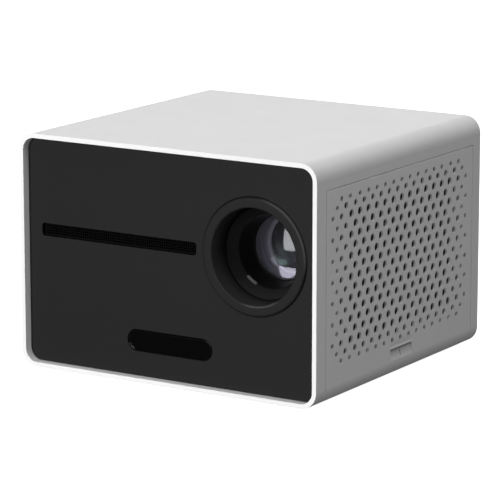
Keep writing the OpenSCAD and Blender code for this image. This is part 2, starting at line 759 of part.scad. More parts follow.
module base_tray() color([0.16, 0.16, 0.17]) {
    x0 = -side_x + corner_r + 0.3;
    y0 = win_y0 + fit_gap;
    y1 = win_y1 - fit_gap;
    difference() {
        union() {
            translate([x0, y0, floor_z]) cube([guard_x1 - x0, y1 - y0, tray_t]);
            tray_screw_places() translate([0, 0, floor_z]) cylinder(r = boss_r, h = tray_t + 5);
            translate([0, 0, floor_z]) cylinder(r = bush_r + 2.4, h = bush_depth + 2);
            for (p = engine_posts) translate([p[0], p[1], floor_z])
                cylinder(r = engine_post_r, h = engine_z0 - floor_z);
            for (side = [-1, 1]) translate([slot_x + side * (slot_w / 2 - speaker_post_inset), 0, 0])
                translate([0, (speaker_y0 + speaker_y1) / 2, floor_z])
                    cylinder(r = engine_post_r, h = speaker_z0 - floor_z);
            main_board_places() translate([0, 0, floor_z]) cylinder(r = boss_r, h = board_z - floor_z);
            power_board_places() translate([0, 0, floor_z]) cylinder(r = boss_r, h = board_z - floor_z);
            // Ribs that stiffen the tray between its bosses
            for (y = [y0 + 22, engine_y - 18]) translate([x0 + 2, y, floor_z])
                cube([guard_x0 - x0 - 4, 1.6, tray_t + 3]);
        }
        tray_screw_places() translate([0, 0, floor_z - over]) cylinder(r = pilot_r, h = tray_t + 4 + over);
        translate([0, 0, floor_z - over]) cylinder(r = bush_r + 0.05, h = bush_depth + over);
        for (p = engine_posts) translate([p[0], p[1], engine_z0 - 12]) cylinder(r = pilot_r, h = 12 + over);
        main_board_places() translate([0, 0, tray_z]) cylinder(r = pilot_r, h = standoff_h + over);
        power_board_places() translate([0, 0, tray_z]) cylinder(r = pilot_r, h = standoff_h + over);
    }
}

module rubber_feet() color([0.1, 0.1, 0.1]) foot_places() {
    translate([0, 0, -foot_h + 0.6]) cylinder(r = foot_r, h = foot_h - 0.6 + foot_seat);
    translate([0, 0, -foot_h]) cylinder(r1 = foot_r - 0.6, r2 = foot_r, h = 0.6);
}

module tripod_bush() color("goldenrod") difference() {
    translate([0, 0, base_z + 0.3]) cylinder(r = bush_r, h = bush_depth + wall - 0.3);
    translate([0, 0, base_z]) cylinder(r = bush_bore_r, h = bush_depth + 0.3);
    translate([0, 0, base_z + 0.29]) cylinder(r1 = bush_bore_r + 0.6, r2 = bush_bore_r, h = 0.6);
}

module tray_screws() tray_screw_places()
    translate([0, 0, base_z + head_h]) rotate([180, 0, 0]) screw(wall - head_h + tray_t + 3);

module panel_screws() panel_screw_places()
    translate([0, -1, 0]) rotate([-90, 0, 0]) screw(panel_t + 2);

// The light engine seen from above: a tunnel whose far corner runs along the mirror's back
module engine_plan(grow) {
    x0 = tunnel_x0 - grow;
    x1 = tunnel_x1 + grow;
    y0 = tunnel_y0 - grow;
    y1 = tunnel_y1 + grow;
    line = mirror_line + grow * sqrt(2);
    polygon([[x0, y0], [x1, y0], [x1, line - x1], [line - y1, y1], [x0, y1]]);
}

module lid_screw_places() {
    beside_wall = boss_r + 0.5;
    behind_dome = first_plate - condenser_gap + beside_wall;
    for (p = [[behind_dome, tunnel_y0 + beside_wall], [behind_dome, tunnel_y1 - beside_wall],
              [tunnel_x1 - beside_wall - 1, tunnel_y0 + beside_wall],
              [last_plate + mirror_gap - 2 * beside_wall - 1, tunnel_y1 - beside_wall]])
        translate([p[0], p[1], tunnel_z1]) children();
}

module engine_box() color([0.15, 0.15, 0.16]) difference() {
    union() {
        difference() {
            translate([0, 0, engine_z0]) linear_extrude(engine_h + engine_wall) engine_plan(engine_wall);
            translate([0, 0, tunnel_z0]) linear_extrude(engine_h + over) engine_plan(0);
        }
        // Ribs that hold each plate by its edges
        for (plate = [[first_plate, heat_glass_t], [first_plate + plate_step, fresnel_t],
                      [lcd_x, lcd_t], [last_plate, fresnel_t]],
             side = [-1, 1], y = [tunnel_y0, tunnel_y1 - 2])
            translate([plate[0] + side * (plate[1] / 2 + fit_gap + 0.6) - 0.6, y, tunnel_z0])
                cube([1.2, 2, engine_h]);
        // Collar that the condenser lens seats on
        at_engine_end() difference() {
            rod_x(condenser_r + 1, tunnel_x0, tunnel_x0 + collar_t);
            rod_x(condenser_r - 2, tunnel_x0 - over, tunnel_x0 + collar_t + over);
        }
        // Posts for the lid's screws
        lid_screw_places() translate([0, 0, -engine_h]) cylinder(r = boss_r, h = engine_h);
        // Lugs over the tray's posts
        for (p = engine_posts) translate([p[0], p[1], engine_z0]) cylinder(r = engine_post_r, h = 4);
    }
    at_lens() rod_y(barrel_r - 3, engine_y - over, tunnel_y0 + over);
    at_engine_end() rod_x(led_window_r, engine_x0 - over, tunnel_x0 + over);
    // Air way from the LCD fan, and the slit that the LCD's ribbon leaves by
    translate([lcd_x, mirror_y - 4, engine_z0 - over])
        cylinder(r = lcd_fan_w / 2 - 2.5, h = engine_wall + over + 1);
    translate([lcd_x - 1.5, mirror_y + lcd_fan_w / 2 - 1, engine_z0 - over])
        cube([3, 15, engine_wall + 2 * over]);
    lid_screw_places() translate([0, 0, -8]) cylinder(r = pilot_r, h = 8 + over);
    for (y = [tunnel_y0 - engine_wall - over, tunnel_y1 - over]) translate([lcd_x - 8, y, lens_cz - 18])
        for (i = [0:2]) translate([8 - 1.2 + (i - 1) * 4.6, 0, 0]) cube([2.4, engine_wall + 2 * over, 36]);
}

module at_engine_end() {
    translate([0, mirror_y, lens_cz]) children();
}

module engine_lid() color([0.18, 0.18, 0.19]) difference() {
    union() {
        translate([0, 0, tunnel_z1]) linear_extrude(lid_t) engine_plan(engine_wall);
        for (y = [tunnel_y0 + engine_w / 3, tunnel_y0 + 2 * engine_w / 3])
            translate([tunnel_x0, y, tunnel_z1]) cube([mirror_line - tunnel_y1 - tunnel_x0, 1.5, lid_t + 3]);
    }
    lid_screw_places() translate([0, 0, -over]) cylinder(r = pass_r, h = lid_t + 2 * over);
}

module lid_screws() lid_screw_places() translate([0, 0, lid_t]) screw(lid_t + 6);

module fold_mirror() color([0.85, 0.88, 0.9])
    translate([lens_cx, mirror_y, tunnel_z0]) rotate([0, 0, -45]) translate([-mirror_w / 2, 0, 0])
        cube([mirror_w, mirror_t, plate_h]);

// A plate that stands in the tunnel across the light
module engine_plate(x, thickness) {
    translate([x - thickness / 2, mirror_y - plate_w / 2, tunnel_z0]) cube([thickness, plate_w, plate_h]);
}

module heat_glass() color([0.7, 0.85, 0.8]) engine_plate(first_plate, heat_glass_t);

// A Fresnel lens: a plate with stepped rings on the face that looks at the LCD
module fresnel(x, facing) {
    step = (engine_h / 2 - 2) / 6;
    difference() {
        engine_plate(x, fresnel_t);
        at_engine_end() translate([x, 0, 0]) rotate([0, facing * 90, 0]) for (i = [1:6])
            translate([0, 0, fresnel_t / 2 - 0.5]) difference() {
                cylinder(r1 = i * step - 0.8, r2 = i * step, h = 0.6);
                translate([0, 0, -over]) cylinder(r = i * step - 1.2, h = 3);
            }
    }
}

module front_fresnel() color([0.82, 0.86, 0.9]) fresnel(first_plate + plate_step, 1);

module rear_fresnel() color([0.82, 0.86, 0.9]) fresnel(last_plate, -1);

module lcd_panel() color([0.1, 0.12, 0.2]) difference() {
    engine_plate(lcd_x, lcd_t);
    // Step of the glass round the picture area, on both faces
    for (side = [-1, 1]) translate([lcd_x + side * (lcd_t / 2), mirror_y, lens_cz])
        cube([0.8, plate_w - 8, engine_h - 10], center = true);
}

// Flat ribbon from the LCD's foot down to a connector on the main board
module lcd_ribbon() color("peru") {
    bend = 6;
    ribbon_t = 0.3;
    foot = board_top + 2;
    y0 = mirror_y + lcd_fan_w / 2 + 1;
    y1 = y0 + 12;
    along_y(y0, y1) {
        translate([lcd_x - ribbon_t / 2, foot + bend + ribbon_t / 2])
            square([ribbon_t, tunnel_z0 - 0.05 - foot - bend - ribbon_t / 2]);
        translate([lcd_x + bend, foot + bend + ribbon_t / 2]) intersection() {
            difference() {
                circle(bend + ribbon_t / 2);
                circle(bend - ribbon_t / 2);
            }
            translate([-2 * bend, -2 * bend]) square(2 * bend);
        }
        translate([lcd_x + bend, foot]) square([5, ribbon_t]);
    }
}

// Points of a spherical face's section, from the axis out to the edge or back
function face(y, r, bulge, steps = 14) =
    let (sphere_r = (r * r + bulge * bulge) / (2 * abs(bulge)), reach = asin(r / sphere_r), s = sign(bulge))
    [for (i = [0:steps]) let (t = reach * i / steps)
        [sphere_r * sin(t), y + s * sphere_r * (cos(t) - cos(reach))]];
function reversed(points) = [for (i = [len(points) - 1:-1:0]) points[i]];

// How far a face stands out of its edge at radius at
function rise(at, r, bulge) =
    let (sphere_r = (r * r + bulge * bulge) / (2 * abs(bulge)))
    sign(bulge) * (sqrt(sphere_r * sphere_r - at * at) - sqrt(sphere_r * sphere_r - r * r));

// A lens element: two spherical faces on a ground edge that runs from y to y + edge.
// A positive bulge stands out of that edge's end
module glass(r, y, edge, front_bulge, back_bulge) {
    turned_y(concat(face(y, r, -front_bulge), reversed(face(y + edge, r, back_bulge))), $fn = 96);
}

glass_r = glass_bore - 0.05;
spacer_r = glass_r - 1.2;
glass_seat = 0.05;
lip_t = 1.2;
front_edge = 4;
middle_edge = 6;
rear_edge = 5;
front_bulges = [4.5, 1.6];
middle_bulges = [-2, -1.6];
rear_bulges = [1.8, 5];
front_rise = rise(aperture_r + 0.4, glass_r, front_bulges[0]);
front_glass_y = barrel_y + glass_depth + lip_t + glass_seat + front_rise;
spacer_y0 = front_glass_y + front_edge + rise(spacer_r, glass_r, front_bulges[1]) + glass_seat;
middle_glass_y = spacer_y0 + 10;
spacer_y1 = middle_glass_y + middle_edge;
rear_glass_y = spacer_y1 + 9 + rise(spacer_r, glass_r, rear_bulges[0]) + glass_seat;
retainer_y = rear_glass_y + rear_edge + rise(spacer_r, glass_r, rear_bulges[1]) + glass_seat;

module front_glass() color([0.55, 0.6, 0.8, 0.5]) at_lens()
    glass(glass_r, front_glass_y, front_edge, front_bulges[0], front_bulges[1]);

module middle_glass() color([0.6, 0.7, 0.75, 0.5]) at_lens()
    glass(glass_r, middle_glass_y, middle_edge, middle_bulges[0], middle_bulges[1]);

module rear_glass() color([0.6, 0.7, 0.75, 0.5]) at_lens()
    glass(glass_r, rear_glass_y, rear_edge, rear_bulges[0], rear_bulges[1]);

module condenser_lens() color([0.8, 0.88, 0.9]) at_engine_end() {
    back = tunnel_x0 + collar_t;
    front = back + condenser_edge + condenser_bulge;
    dome_r = (condenser_r * condenser_r + condenser_bulge * condenser_bulge) / (2 * condenser_bulge);
    intersection() {
        rod_x(condenser_r, back, front + over);
        translate([front - dome_r, 0, 0]) sphere(dome_r, $fn = 96);
    }
}

// Two rings that keep the glasses apart
module glass_spacers() color([0.08, 0.08, 0.08]) at_lens()
    for (span = [[spacer_y0, middle_glass_y], [spacer_y1, spacer_y1 + 9]]) difference() {
        rod_y(glass_r, span[0], span[1]);
        rod_y(spacer_r, span[0] - over, span[1] + over);
    }

module glass_retainer() color([0.08, 0.08, 0.08]) at_lens() difference() {
    rod_y(glass_r, retainer_y, retainer_y + 3);
    rod_y(spacer_r, retainer_y - over, retainer_y + 3 + over);
    // Slots for the spanner that turns it in
    for (a = [0, 180]) rotate([0, a, 0]) translate([glass_r - 2, retainer_y + 1.5, -1]) cube([4, 4, 2]);
}

module at_cam_pins() {
    for (a = [30, 150, 270]) rotate([0, a, 0]) translate([0, cam_y, 0]) children();
}

module lens_barrel() color([0.07, 0.07, 0.075]) at_lens() difference() {
    turned_y([
        [barrel_r - 0.5, barrel_y], [barrel_r, barrel_y + 0.5],
        [barrel_r, barrel_y + barrel_len],
        [glass_bore, barrel_y + barrel_len], [glass_bore, barrel_y + glass_depth + lip_t],
        [aperture_r + 0.4, barrel_y + glass_depth + lip_t], [aperture_r, barrel_y + glass_depth + lip_t / 2],
        [aperture_r, barrel_y + glass_depth], [aperture_r + 0.6, barrel_y + glass_depth - 0.6],
        [mouth_r, barrel_y + 5.8], [mouth_r + 0.4, barrel_y + 5.2]
    ], $fn = 96);
    at_cam_pins() rod_x(cam_pin_r, barrel_r - 3, barrel_r + over);
}

module cam_pins() color("silver") at_lens() at_cam_pins()
    rod_x(cam_pin_r - 0.02, barrel_r - 3, cam_out - 0.4);

module lens_holder() color([0.14, 0.14, 0.15]) at_lens() difference() {
    union() {
        rod_y(holder_out, holder_y0, engine_y);
        // Flange on the light engine's front wall
        along_y(engine_y - 4, engine_y) round_rect(2 * holder_out + 6, engine_h + 2 * engine_wall - 2, 5);
        // Shoulder behind the cam ring, with the motor's bracket
        along_y(bracket_y0, bracket_y1) {
            circle(cam_out + 0.6);
            rotate(motor_angle) translate([0, -motor_r - 2]) square([gear_distance, 2 * motor_r + 4]);
            rotate(motor_angle) translate([gear_distance, 0]) circle(motor_r + 2);
        }
    }
    rod_y(holder_in, holder_y0 - over, engine_y + over);
    // Straight slots that keep the barrel from turning
    at_cam_pins() along_x(holder_in - over, holder_out + over)
        pill_slot(2 * cam_slot_half, 2 * (cam_pin_r + pin_play));
    // Groove of the retaining clip
    difference() {
        rod_y(holder_out + over, clip_y0, clip_y0 + clip_t + 0.1);
        rod_y(holder_out - 0.6, clip_y0 - over, clip_y0 + clip_t + over);
    }
    rotate([0, -motor_angle, 0]) translate([gear_distance, 0, 0])
        rod_y(shaft_r + 1.5, bracket_y0 - over, bracket_y1 + over);
    for (x = [-1, 1], z = [-1, 1])
        translate([x * holder_out, 0, z * (engine_h / 2 - 3)]) rod_y(pass_r, engine_y - 5, engine_y + over);
}

module pill_slot(length, width) {
    square([length - width, width], center = true);
    for (s = [-1, 1]) translate([s * (length - width) / 2, 0]) circle(width / 2);
}

module retaining_clip() color("silver") at_lens() difference() {
    rod_y(cam_out - 0.4, clip_y0 + 0.05, clip_y0 + clip_t + 0.05);
    rod_y(holder_out - 0.55, clip_y0 - over, clip_y0 + clip_t + over);
    rotate([0, -90, 0]) translate([0, clip_y0 - over, -5]) cube([2 * cam_out, clip_t + 2 * over, 10]);
}

// The involute of a pressure angle, and half the angle of a tooth at radius r, in degrees
function involute(angle) = tan(angle) * 180 / PI - angle;
function tooth_half(r, pitch_r, teeth, play) =
    let (base_r = pitch_r * cos(20), at = r > base_r ? acos(base_r / r) : 0)
    90 / teeth - play / pitch_r * 90 / PI + involute(20) - involute(at);

// Outline of a spur gear with a tooth centred on angle 0
function gear_outline(teeth, module_size, play) =
    let (pitch_r = teeth * module_size / 2,
         root_r = pitch_r - tooth_root * module_size,
         tip_r = pitch_r + module_size,
         radii = [for (i = [0:4]) root_r + (tip_r - root_r) * i / 4])
    [for (t = [0:teeth - 1], side = [-1, 1], i = [0:4])
        let (r = side < 0 ? radii[i] : radii[4 - i],
             slim = r == root_r ? 0.95 : 1,
             a = t * 360 / teeth + side * slim * tooth_half(r, pitch_r, teeth, play))
        [r * cos(a), r * sin(a)]];

module cam_ring() color([0.85, 0.85, 0.8]) at_lens() difference() {
    union() {
        rod_y(cam_out, cam_y0, gear_y1);
        along_y(gear_y0, gear_y1) rotate(motor_angle)
            polygon(gear_outline(ring_teeth, gear_module, tooth_play));
    }
    rod_y(cam_in, cam_y0 - over, gear_y1 + over);
    at_cam_pins() cam_slot();
}

// A helical slot round the Y axis, longer than the pins' travel by their clearance at each end
module cam_slot() {
    steps = 24;
    half_w = cam_pin_r + pin_play;
    half_turn = turn_each_way + half_w / cam_in * 180 / PI;
    rise = focus_travel / turn_each_way;
    corners = [[cam_in - 1, -half_w], [cam_out + 1, -half_w], [cam_out + 1, half_w], [cam_in - 1, half_w]];
    points = [for (i = [0:steps])
        let (turn = half_turn * (2 * i / steps - 1))
        for (c = corners) [c[0] * cos(turn), c[1] - rise * turn, -c[0] * sin(turn)]];
    sides = [for (i = [0:steps - 1], j = [0:3])
        let (a = 4 * i + j, b = 4 * i + (j + 1) % 4)
        each [[a, b, b + 4], [a, b + 4, a + 4]]];
    last = 4 * steps;
    polyhedron(points, concat(sides, [[3, 2, 1, 0], [last, last + 1, last + 2, last + 3]]));
}

module at_motor() {
    translate([motor_x, 0, motor_z]) children();
}

module focus_pinion() color("ivory") at_motor() difference() {
    union() {
        along_y(gear_y0, gear_y1) rotate(motor_angle + 180 + 180 / pinion_teeth)
            polygon(gear_outline(pinion_teeth, gear_module, tooth_play));
        rod_y(pinion_pitch_r - 1.5 * gear_module, gear_y0 - 2, gear_y0);
    }
    rod_y(shaft_r + 0.03, gear_y0 - 3, gear_y1 + over);
}

module motor_shaft() color("silver") at_motor() rod_y(shaft_r, gear_y0 - 2.5, bracket_y1 + 5);

module focus_motor() color("silver") at_motor() difference() {
    union() {
        // Gearbox, motor can and the boss of its rear bush
        along_y(bracket_y1, bracket_y1 + 9) square([2 * motor_r, 2 * motor_r - 2], center = true);
        along_y(bracket_y1 + 9, bracket_y1 + 24) intersection() {
            circle(motor_r);
            square([2 * motor_r, 2 * motor_r - 2], center = true);
        }
        rod_y(2, bracket_y1 + 24, bracket_y1 + 25);
    }
    rod_y(shaft_r + run_gap, bracket_y1 - over, bracket_y1 + 5.5);
}

fan_bearing_r = 1.5;
fan_wall = 2;
fan_tip_gap = 0.8;
fan_eye = 4;
fan_hub_t = 2;

// An axial fan's frame along +Z from the origin: ring, corner eyes, struts and a bearing hub
module fan_frame(size, depth) {
    hub = size * 0.2;
    bore = size / 2 - fan_wall;
    difference() {
        linear_extrude(depth) difference() {
            round_rect(size, size, fan_eye);
            circle(bore);
        }
        for (x = [-1, 1], y = [-1, 1]) translate([x * (size / 2 - fan_eye), y * (size / 2 - fan_eye), -over])
            cylinder(r = pilot_r, h = depth + 2 * over);
    }
    difference() {
        union() {
            cylinder(r = hub, h = fan_hub_t);
            cylinder(r = fan_bearing_r + 1.5, h = depth * 0.45);
            for (a = [45:90:315]) rotate([0, 0, a]) translate([0, -1.5, 0])
                cube([bore + 0.5, 3, fan_hub_t]);
        }
        translate([0, 0, 1]) cylinder(r = fan_bearing_r + run_gap, h = depth);
    }
}

// The rotor that runs in it: a cup with curved, pitched blades and a shaft
module fan_rotor(size, depth, blades) {
    hub = size * 0.2;
    rotor_z = fan_hub_t + 1;
    tip = size / 2 - fan_wall - fan_tip_gap;
    blade_w = 2 * PI * tip / blades * 0.62;
    arc_r = blade_w * 1.2;
    difference() {
        translate([0, 0, rotor_z]) cylinder(r = hub, h = depth - rotor_z - 1);
        translate([0, 0, rotor_z - over]) cylinder(r = hub - 1.2, h = depth - rotor_z - 3.2 + over);
    }
    translate([0, 0, 1.2]) cylinder(r = fan_bearing_r, h = depth - 3);
    for (i = [0:blades - 1]) rotate([0, 0, i * 360 / blades]) intersection() {
        translate([0, 0, rotor_z]) linear_extrude(depth - rotor_z - 1.5) difference() {
            circle(tip);
            circle(hub - 0.6);
        }
        // Each blade is a shallow arc in section, pitched to the air's way
        translate([0, 0, depth / 2 + 0.7]) rotate([38, 0, 0]) rotate([0, 90, 0])
            linear_extrude(tip + 1) intersection() {
                translate([-arc_r, 0]) difference() {
                    circle(arc_r + 0.6);
                    circle(arc_r - 0.6);
                }
                translate([-blade_w / 2, -blade_w / 2]) square([blade_w, blade_w]);
            }
    }
}

module at_exhaust_fan() {
    translate([fan_x0, mirror_y, lens_cz]) rotate([0, 90, 0]) children();
}

module exhaust_fan_frame() color([0.12, 0.12, 0.12]) at_exhaust_fan() fan_frame(fan_w, fan_t);

module exhaust_fan_rotor() color([0.2, 0.2, 0.22]) at_exhaust_fan() fan_rotor(fan_w, fan_t, 7);

module at_lcd_fan() {
    translate([lcd_x, mirror_y - 4, engine_z0 - lcd_fan_t]) children();
}

module lcd_fan_frame() color([0.12, 0.12, 0.12]) at_lcd_fan() fan_frame(lcd_fan_w, lcd_fan_t);

module lcd_fan_rotor() color([0.2, 0.2, 0.22]) at_lcd_fan() fan_rotor(lcd_fan_w, lcd_fan_t, 7);

module fan_screw_places() {
    for (x = [-1, 1], y = [-1, 1])
        translate([x * (fan_w / 2 - fan_eye), y * (fan_w / 2 - fan_eye), 0]) children();
}

module fan_screws() color("silver") at_exhaust_fan() fan_screw_places() {
    translate([0, 0, 0.4]) cylinder(r = screw_r, h = fan_t + 8);
}

module led_heat_sink() color([0.75, 0.76, 0.78]) {
    sink_w = engine_w;
    fins = floor((sink_w - fin_t) / fin_pitch);
    sink_z0 = lens_cz - fan_w / 2;
    difference() {
        union() {
            difference() {
                translate([0, 0, sink_z0]) linear_extrude(fan_w) {
                    translate([fan_x1 + fin_h, mirror_y - sink_w / 2]) square([sink_base, sink_w]);
                    for (i = [0:fins]) translate([fan_x1, mirror_y + (i - fins / 2) * fin_pitch - fin_t / 2])
                        square([fin_h + 0.5, fin_t]);
                }
                at_exhaust_fan() translate([0, 0, fan_t - over]) fan_screw_places()
                    cylinder(r = boss_r + 1.5, h = fin_h + over);
            }
            at_exhaust_fan() translate([0, 0, fan_t]) fan_screw_places()
                cylinder(r = boss_r, h = fin_h + sink_base);
        }
        at_exhaust_fan() translate([0, 0, fan_t - over]) fan_screw_places() cylinder(r = pilot_r, h = 10);
    }
}

module led_board() color([0.8, 0.75, 0.6]) at_engine_end() {
    along_x(sink_x1, engine_x0) round_rect(2 * condenser_r - 1, 2 * condenser_r - 1, 3);
    // The LED itself, in the engine's window
    rod_x(led_window_r - 3, engine_x0, engine_x0 + 0.8);
    rod_x(led_window_r - 5, engine_x0 + 0.8, engine_x0 + 1.2);
}

module main_board_places() {
    for (x = [main_x0 + board_edge, main_x1 - board_edge],
         y = [main_y0 + board_edge, main_y1 - socket_depth - 8])
        translate([x, y, 0]) children();
}

module power_board_places() {
    for (x = [power_x0 + board_edge, power_x1 - board_edge],
         y = [power_y0 + board_edge, power_y1 - board_edge])
        translate([x, y, 0]) children();
}

module board_screws() for (group = [0, 1]) {
    if (group == 0) main_board_places() translate([0, 0, board_top]) screw(board_t + 5);
    if (group == 1) power_board_places() translate([0, 0, board_top]) screw(board_t + 5);
}

processor_w = 24;
processor_h = 2;
processor_x = main_x1 - processor_w / 2 - 22;
processor_y = main_y0 + processor_w / 2 + 12;
cooler_fins = 7;
cooler_fin_h = 8;

module main_board() color([0.1, 0.35, 0.2]) {
    difference() {
        translate([main_x0, main_y0, board_z]) cube([main_w, main_y1 - main_y0, board_t]);
        main_board_places() translate([0, 0, board_z - over]) cylinder(r = pass_r, h = board_t + 2 * over);
    }
    // Processor, memory, flash and the LCD ribbon's connector
    translate([processor_x - processor_w / 2, processor_y - processor_w / 2, board_top])
        cube([processor_w, processor_w, processor_h]);
    for (i = [0, 1]) translate([processor_x - 38, processor_y - 13 + i * 15, board_top]) cube([10, 12, 1.2]);
    translate([lcd_x + bend_room, mirror_y + lcd_fan_w / 2, board_top]) difference() {
        cube([6, 14, 3]);
        translate([-over, 0.8, 1.6]) cube([6, 12.4, 0.8]);
    }
    for (i = [0:3]) translate([main_x0 + 20 + i * 9, main_y0 + 10, board_top]) cylinder(r = 3, h = 8);
}

// Room that the ribbon's bend takes before its connector
bend_room = 7;

module processor_heat_sink() color([0.75, 0.76, 0.78])
    translate([processor_x - processor_w / 2, processor_y - processor_w / 2, board_top + processor_h]) {
        cube([processor_w, processor_w, 2]);
        for (i = [0:cooler_fins - 1]) translate([0, i * (processor_w - fin_t) / (cooler_fins - 1), 1.5])
            cube([processor_w, fin_t, cooler_fin_h]);
    }

// A metal socket shell along Y with its tongue, mouth at the rear panel's face
shell_t = 0.5;

module socket(x, w, h, tongue_w, tongue_h, tongue_z) {
    translate([x, 0, board_top]) {
        difference() {
            translate([-w / 2, socket_y0, 0]) cube([w, socket_depth, h]);
            translate([-w / 2 + shell_t, socket_y0 + 2 * shell_t, shell_t])
                cube([w - 2 * shell_t, socket_depth, h - 2 * shell_t]);
        }
        translate([-tongue_w / 2, socket_y0 + shell_t, tongue_z])
            cube([tongue_w, socket_depth - 2, tongue_h]);
    }
}

module hdmi_sockets() color("silver") for (x = hdmi_x) socket(x, hdmi_w, hdmi_h, hdmi_w - 4, 1, hdmi_h - 3);

module usb_sockets() color("silver") for (x = usb_x) socket(x, usb_w, usb_h, usb_w - 2.2, 1.9, usb_h - 2.8);

jack_bore_r = 1.8;

module audio_jack() color([0.1, 0.1, 0.1]) translate([jack_x, 0, board_top]) difference() {
    union() {
        translate([-jack_w / 2, socket_y0, 0]) cube([jack_w, rear_front - socket_y0 - fit_gap, jack_h]);
        translate([0, 0, jack_h / 2]) rod_y(jack_w / 2 - 0.1, rear_front - 1, rear_face);
    }
    translate([0, 0, jack_h / 2]) rod_y(jack_bore_r, socket_y0 + 1, rear_face + over);
}

core_w = 24;
core_d = 22;
core_h = 20;
core_leg = 6;
capacitor_r = 8;
choke_r = 6;

module power_board() color([0.55, 0.42, 0.2]) {
    difference() {
        translate([power_x0, power_y0, board_z]) cube([power_x1 - power_x0, power_y1 - power_y0, board_t]);
        power_board_places() translate([0, 0, board_z - over]) cylinder(r = pass_r, h = board_t + 2 * over);
    }
    // Transformer: windings between two halves of its core
    translate([power_x0 + 6, power_y0 + 24, board_top]) {
        for (side = [0, 1]) translate([0, side * (core_d - core_leg), 0]) cube([core_w, core_leg, core_h]);
        translate([5, core_leg - 2, 0]) cube([core_w - 10, core_d - 2 * core_leg + 4, core_h]);
        translate([2, core_leg + 0.5, 3]) cube([core_w - 4, core_d - 2 * core_leg - 1, core_h - 6]);
    }
    // Bulk capacitor, filter choke and the switch's cooling plate
    translate([power_x0 + 18, power_y0 + 12, board_top]) cylinder(r = capacitor_r, h = 3 * capacitor_r);
    translate([power_x0 + 12, power_y1 - 12, board_top]) cylinder(r = choke_r, h = 2 * choke_r);
    translate([power_x1 - 8, power_y1 - 34, board_top]) cube([2, 20, core_h - 2]);
}

module inlet_outline(grow = 0) {
    for (x = [-4.15, 4.15]) translate([x, 0]) circle(4.3 + grow);
    square([8.3, 7 + 2 * grow], center = true);
}

inlet_bezel = 1.4;
inlet_mouth = 11;
pin_step = 4.3;
pin_r = 1.2;

module power_inlet() color([0.08, 0.08, 0.08]) translate([inlet_x, 0, inlet_z]) difference() {
    union() {
        along_y(rear_face, rear_face + inlet_bezel) round_rect(inlet_w + 6, inlet_h + 5, 3);
        along_y(rear_face - inlet_depth, rear_face) round_rect(inlet_w, inlet_h, 2);
    }
    along_y(rear_face - inlet_mouth, rear_face + inlet_bezel + over) inlet_outline();
    for (x = [-pin_step, pin_step]) translate([x, 0, 0])
        rod_y(pin_r, rear_face - inlet_depth - over, rear_face - inlet_mouth + over);
}

module inlet_pins() color("silver") translate([inlet_x, 0, inlet_z])
    for (x = [-pin_step, pin_step]) translate([x, 0, 0])
        rod_y(pin_r - 0.02, rear_face - inlet_depth, rear_face - 2);

module at_button() {
    translate([button_x, 0, button_z]) children();
}

module power_button() color([0.2, 0.2, 0.21]) at_button() turned_y([
    [0, stem_end], [1.8, stem_end], [1.8, rear_front - button_rest - button_flange],
    [button_r + button_flange, rear_front - button_rest - button_flange],
    [button_r + button_flange, rear_front - button_rest],
    [button_r, rear_front - button_rest], [button_r, rear_face + 0.3], [button_r - 0.5, rear_face + 0.8],
    [button_r - 1.4, rear_face + 0.8], [0, rear_face + 0.5]
]);

module button_board() color([0.1, 0.35, 0.2]) at_button() {
    switch_y = button_board_y + 3.2;
    difference() {
        along_y(button_board_y - board_t, button_board_y)
            round_rect(2 * (button_post_x + button_post_r + 1), 14, 1.5);
        for (side = [-1, 1]) translate([side * button_post_x, 0, 0])
            rod_y(button_screw_r, button_board_y - board_t - over, button_board_y + over);
    }
    along_y(button_board_y, switch_y) square([6, 6], center = true);
    rod_y(1.7, switch_y, stem_end - button_travel - button_rest);
}

module speaker_places() {
    for (x = [-1, 1]) translate([slot_x + x * speaker_step, 0, slot_cz]) children();
}

module speaker_box() color([0.12, 0.12, 0.13]) difference() {
    h = speaker_z1 - speaker_z0;
    middle = (speaker_z0 + speaker_z1) / 2;
    w = slot_w - 2;
    along_y(speaker_y0, speaker_y1) translate([slot_x, middle]) round_rect(w, h, 6);
    along_y(speaker_y0 + speaker_wall, speaker_y1 - speaker_wall) translate([slot_x, middle])
        round_rect(w - 2 * speaker_wall, h - 2 * speaker_wall, 6 - speaker_wall);
    speaker_places() rod_y(speaker_r - 1, speaker_y0 - over, speaker_y0 + speaker_wall + over);
}

flange_y = speaker_y0 - 1.6;

// Basket of a round speaker with its magnet pot
module speaker_baskets() color([0.6, 0.6, 0.62]) speaker_places() turned_y([
    [speaker_r + 2.5, flange_y], [speaker_r + 2.5, speaker_y0], [speaker_r - 1.2, speaker_y0],
    [speaker_r - 6, speaker_y0 + 9], [13, speaker_y0 + 10], [13, speaker_y0 + 18], [0, speaker_y0 + 18],
    [0, speaker_y0 + 10], [speaker_r - 8, speaker_y0 + 8.4], [speaker_r - 1.8, flange_y]
]);

// Cone with its rolled surround and dust cap
module speaker_cones() color([0.08, 0.08, 0.08]) speaker_places() {
    roll = speaker_r - 0.8;
    cap_r = 6.5;
    cap_h = 2.5;
    dome_r = (cap_r * cap_r + cap_h * cap_h) / (2 * cap_h);
    reach = asin(cap_r / dome_r);
    turned_y(concat(
        arc(roll, flange_y, 1.6, 0, -180),
        [for (i = [0:6]) let (t = reach * (1 - i / 6))
            [dome_r * sin(t), flange_y + 3 + dome_r * (1 - cos(t))]],
        [[0, flange_y + 4], [cap_r - 0.3, flange_y + 6.4], [speaker_r - 2.9, flange_y + 0.7]],
        arc(roll, flange_y, 1, -180, 0)
    ));
}

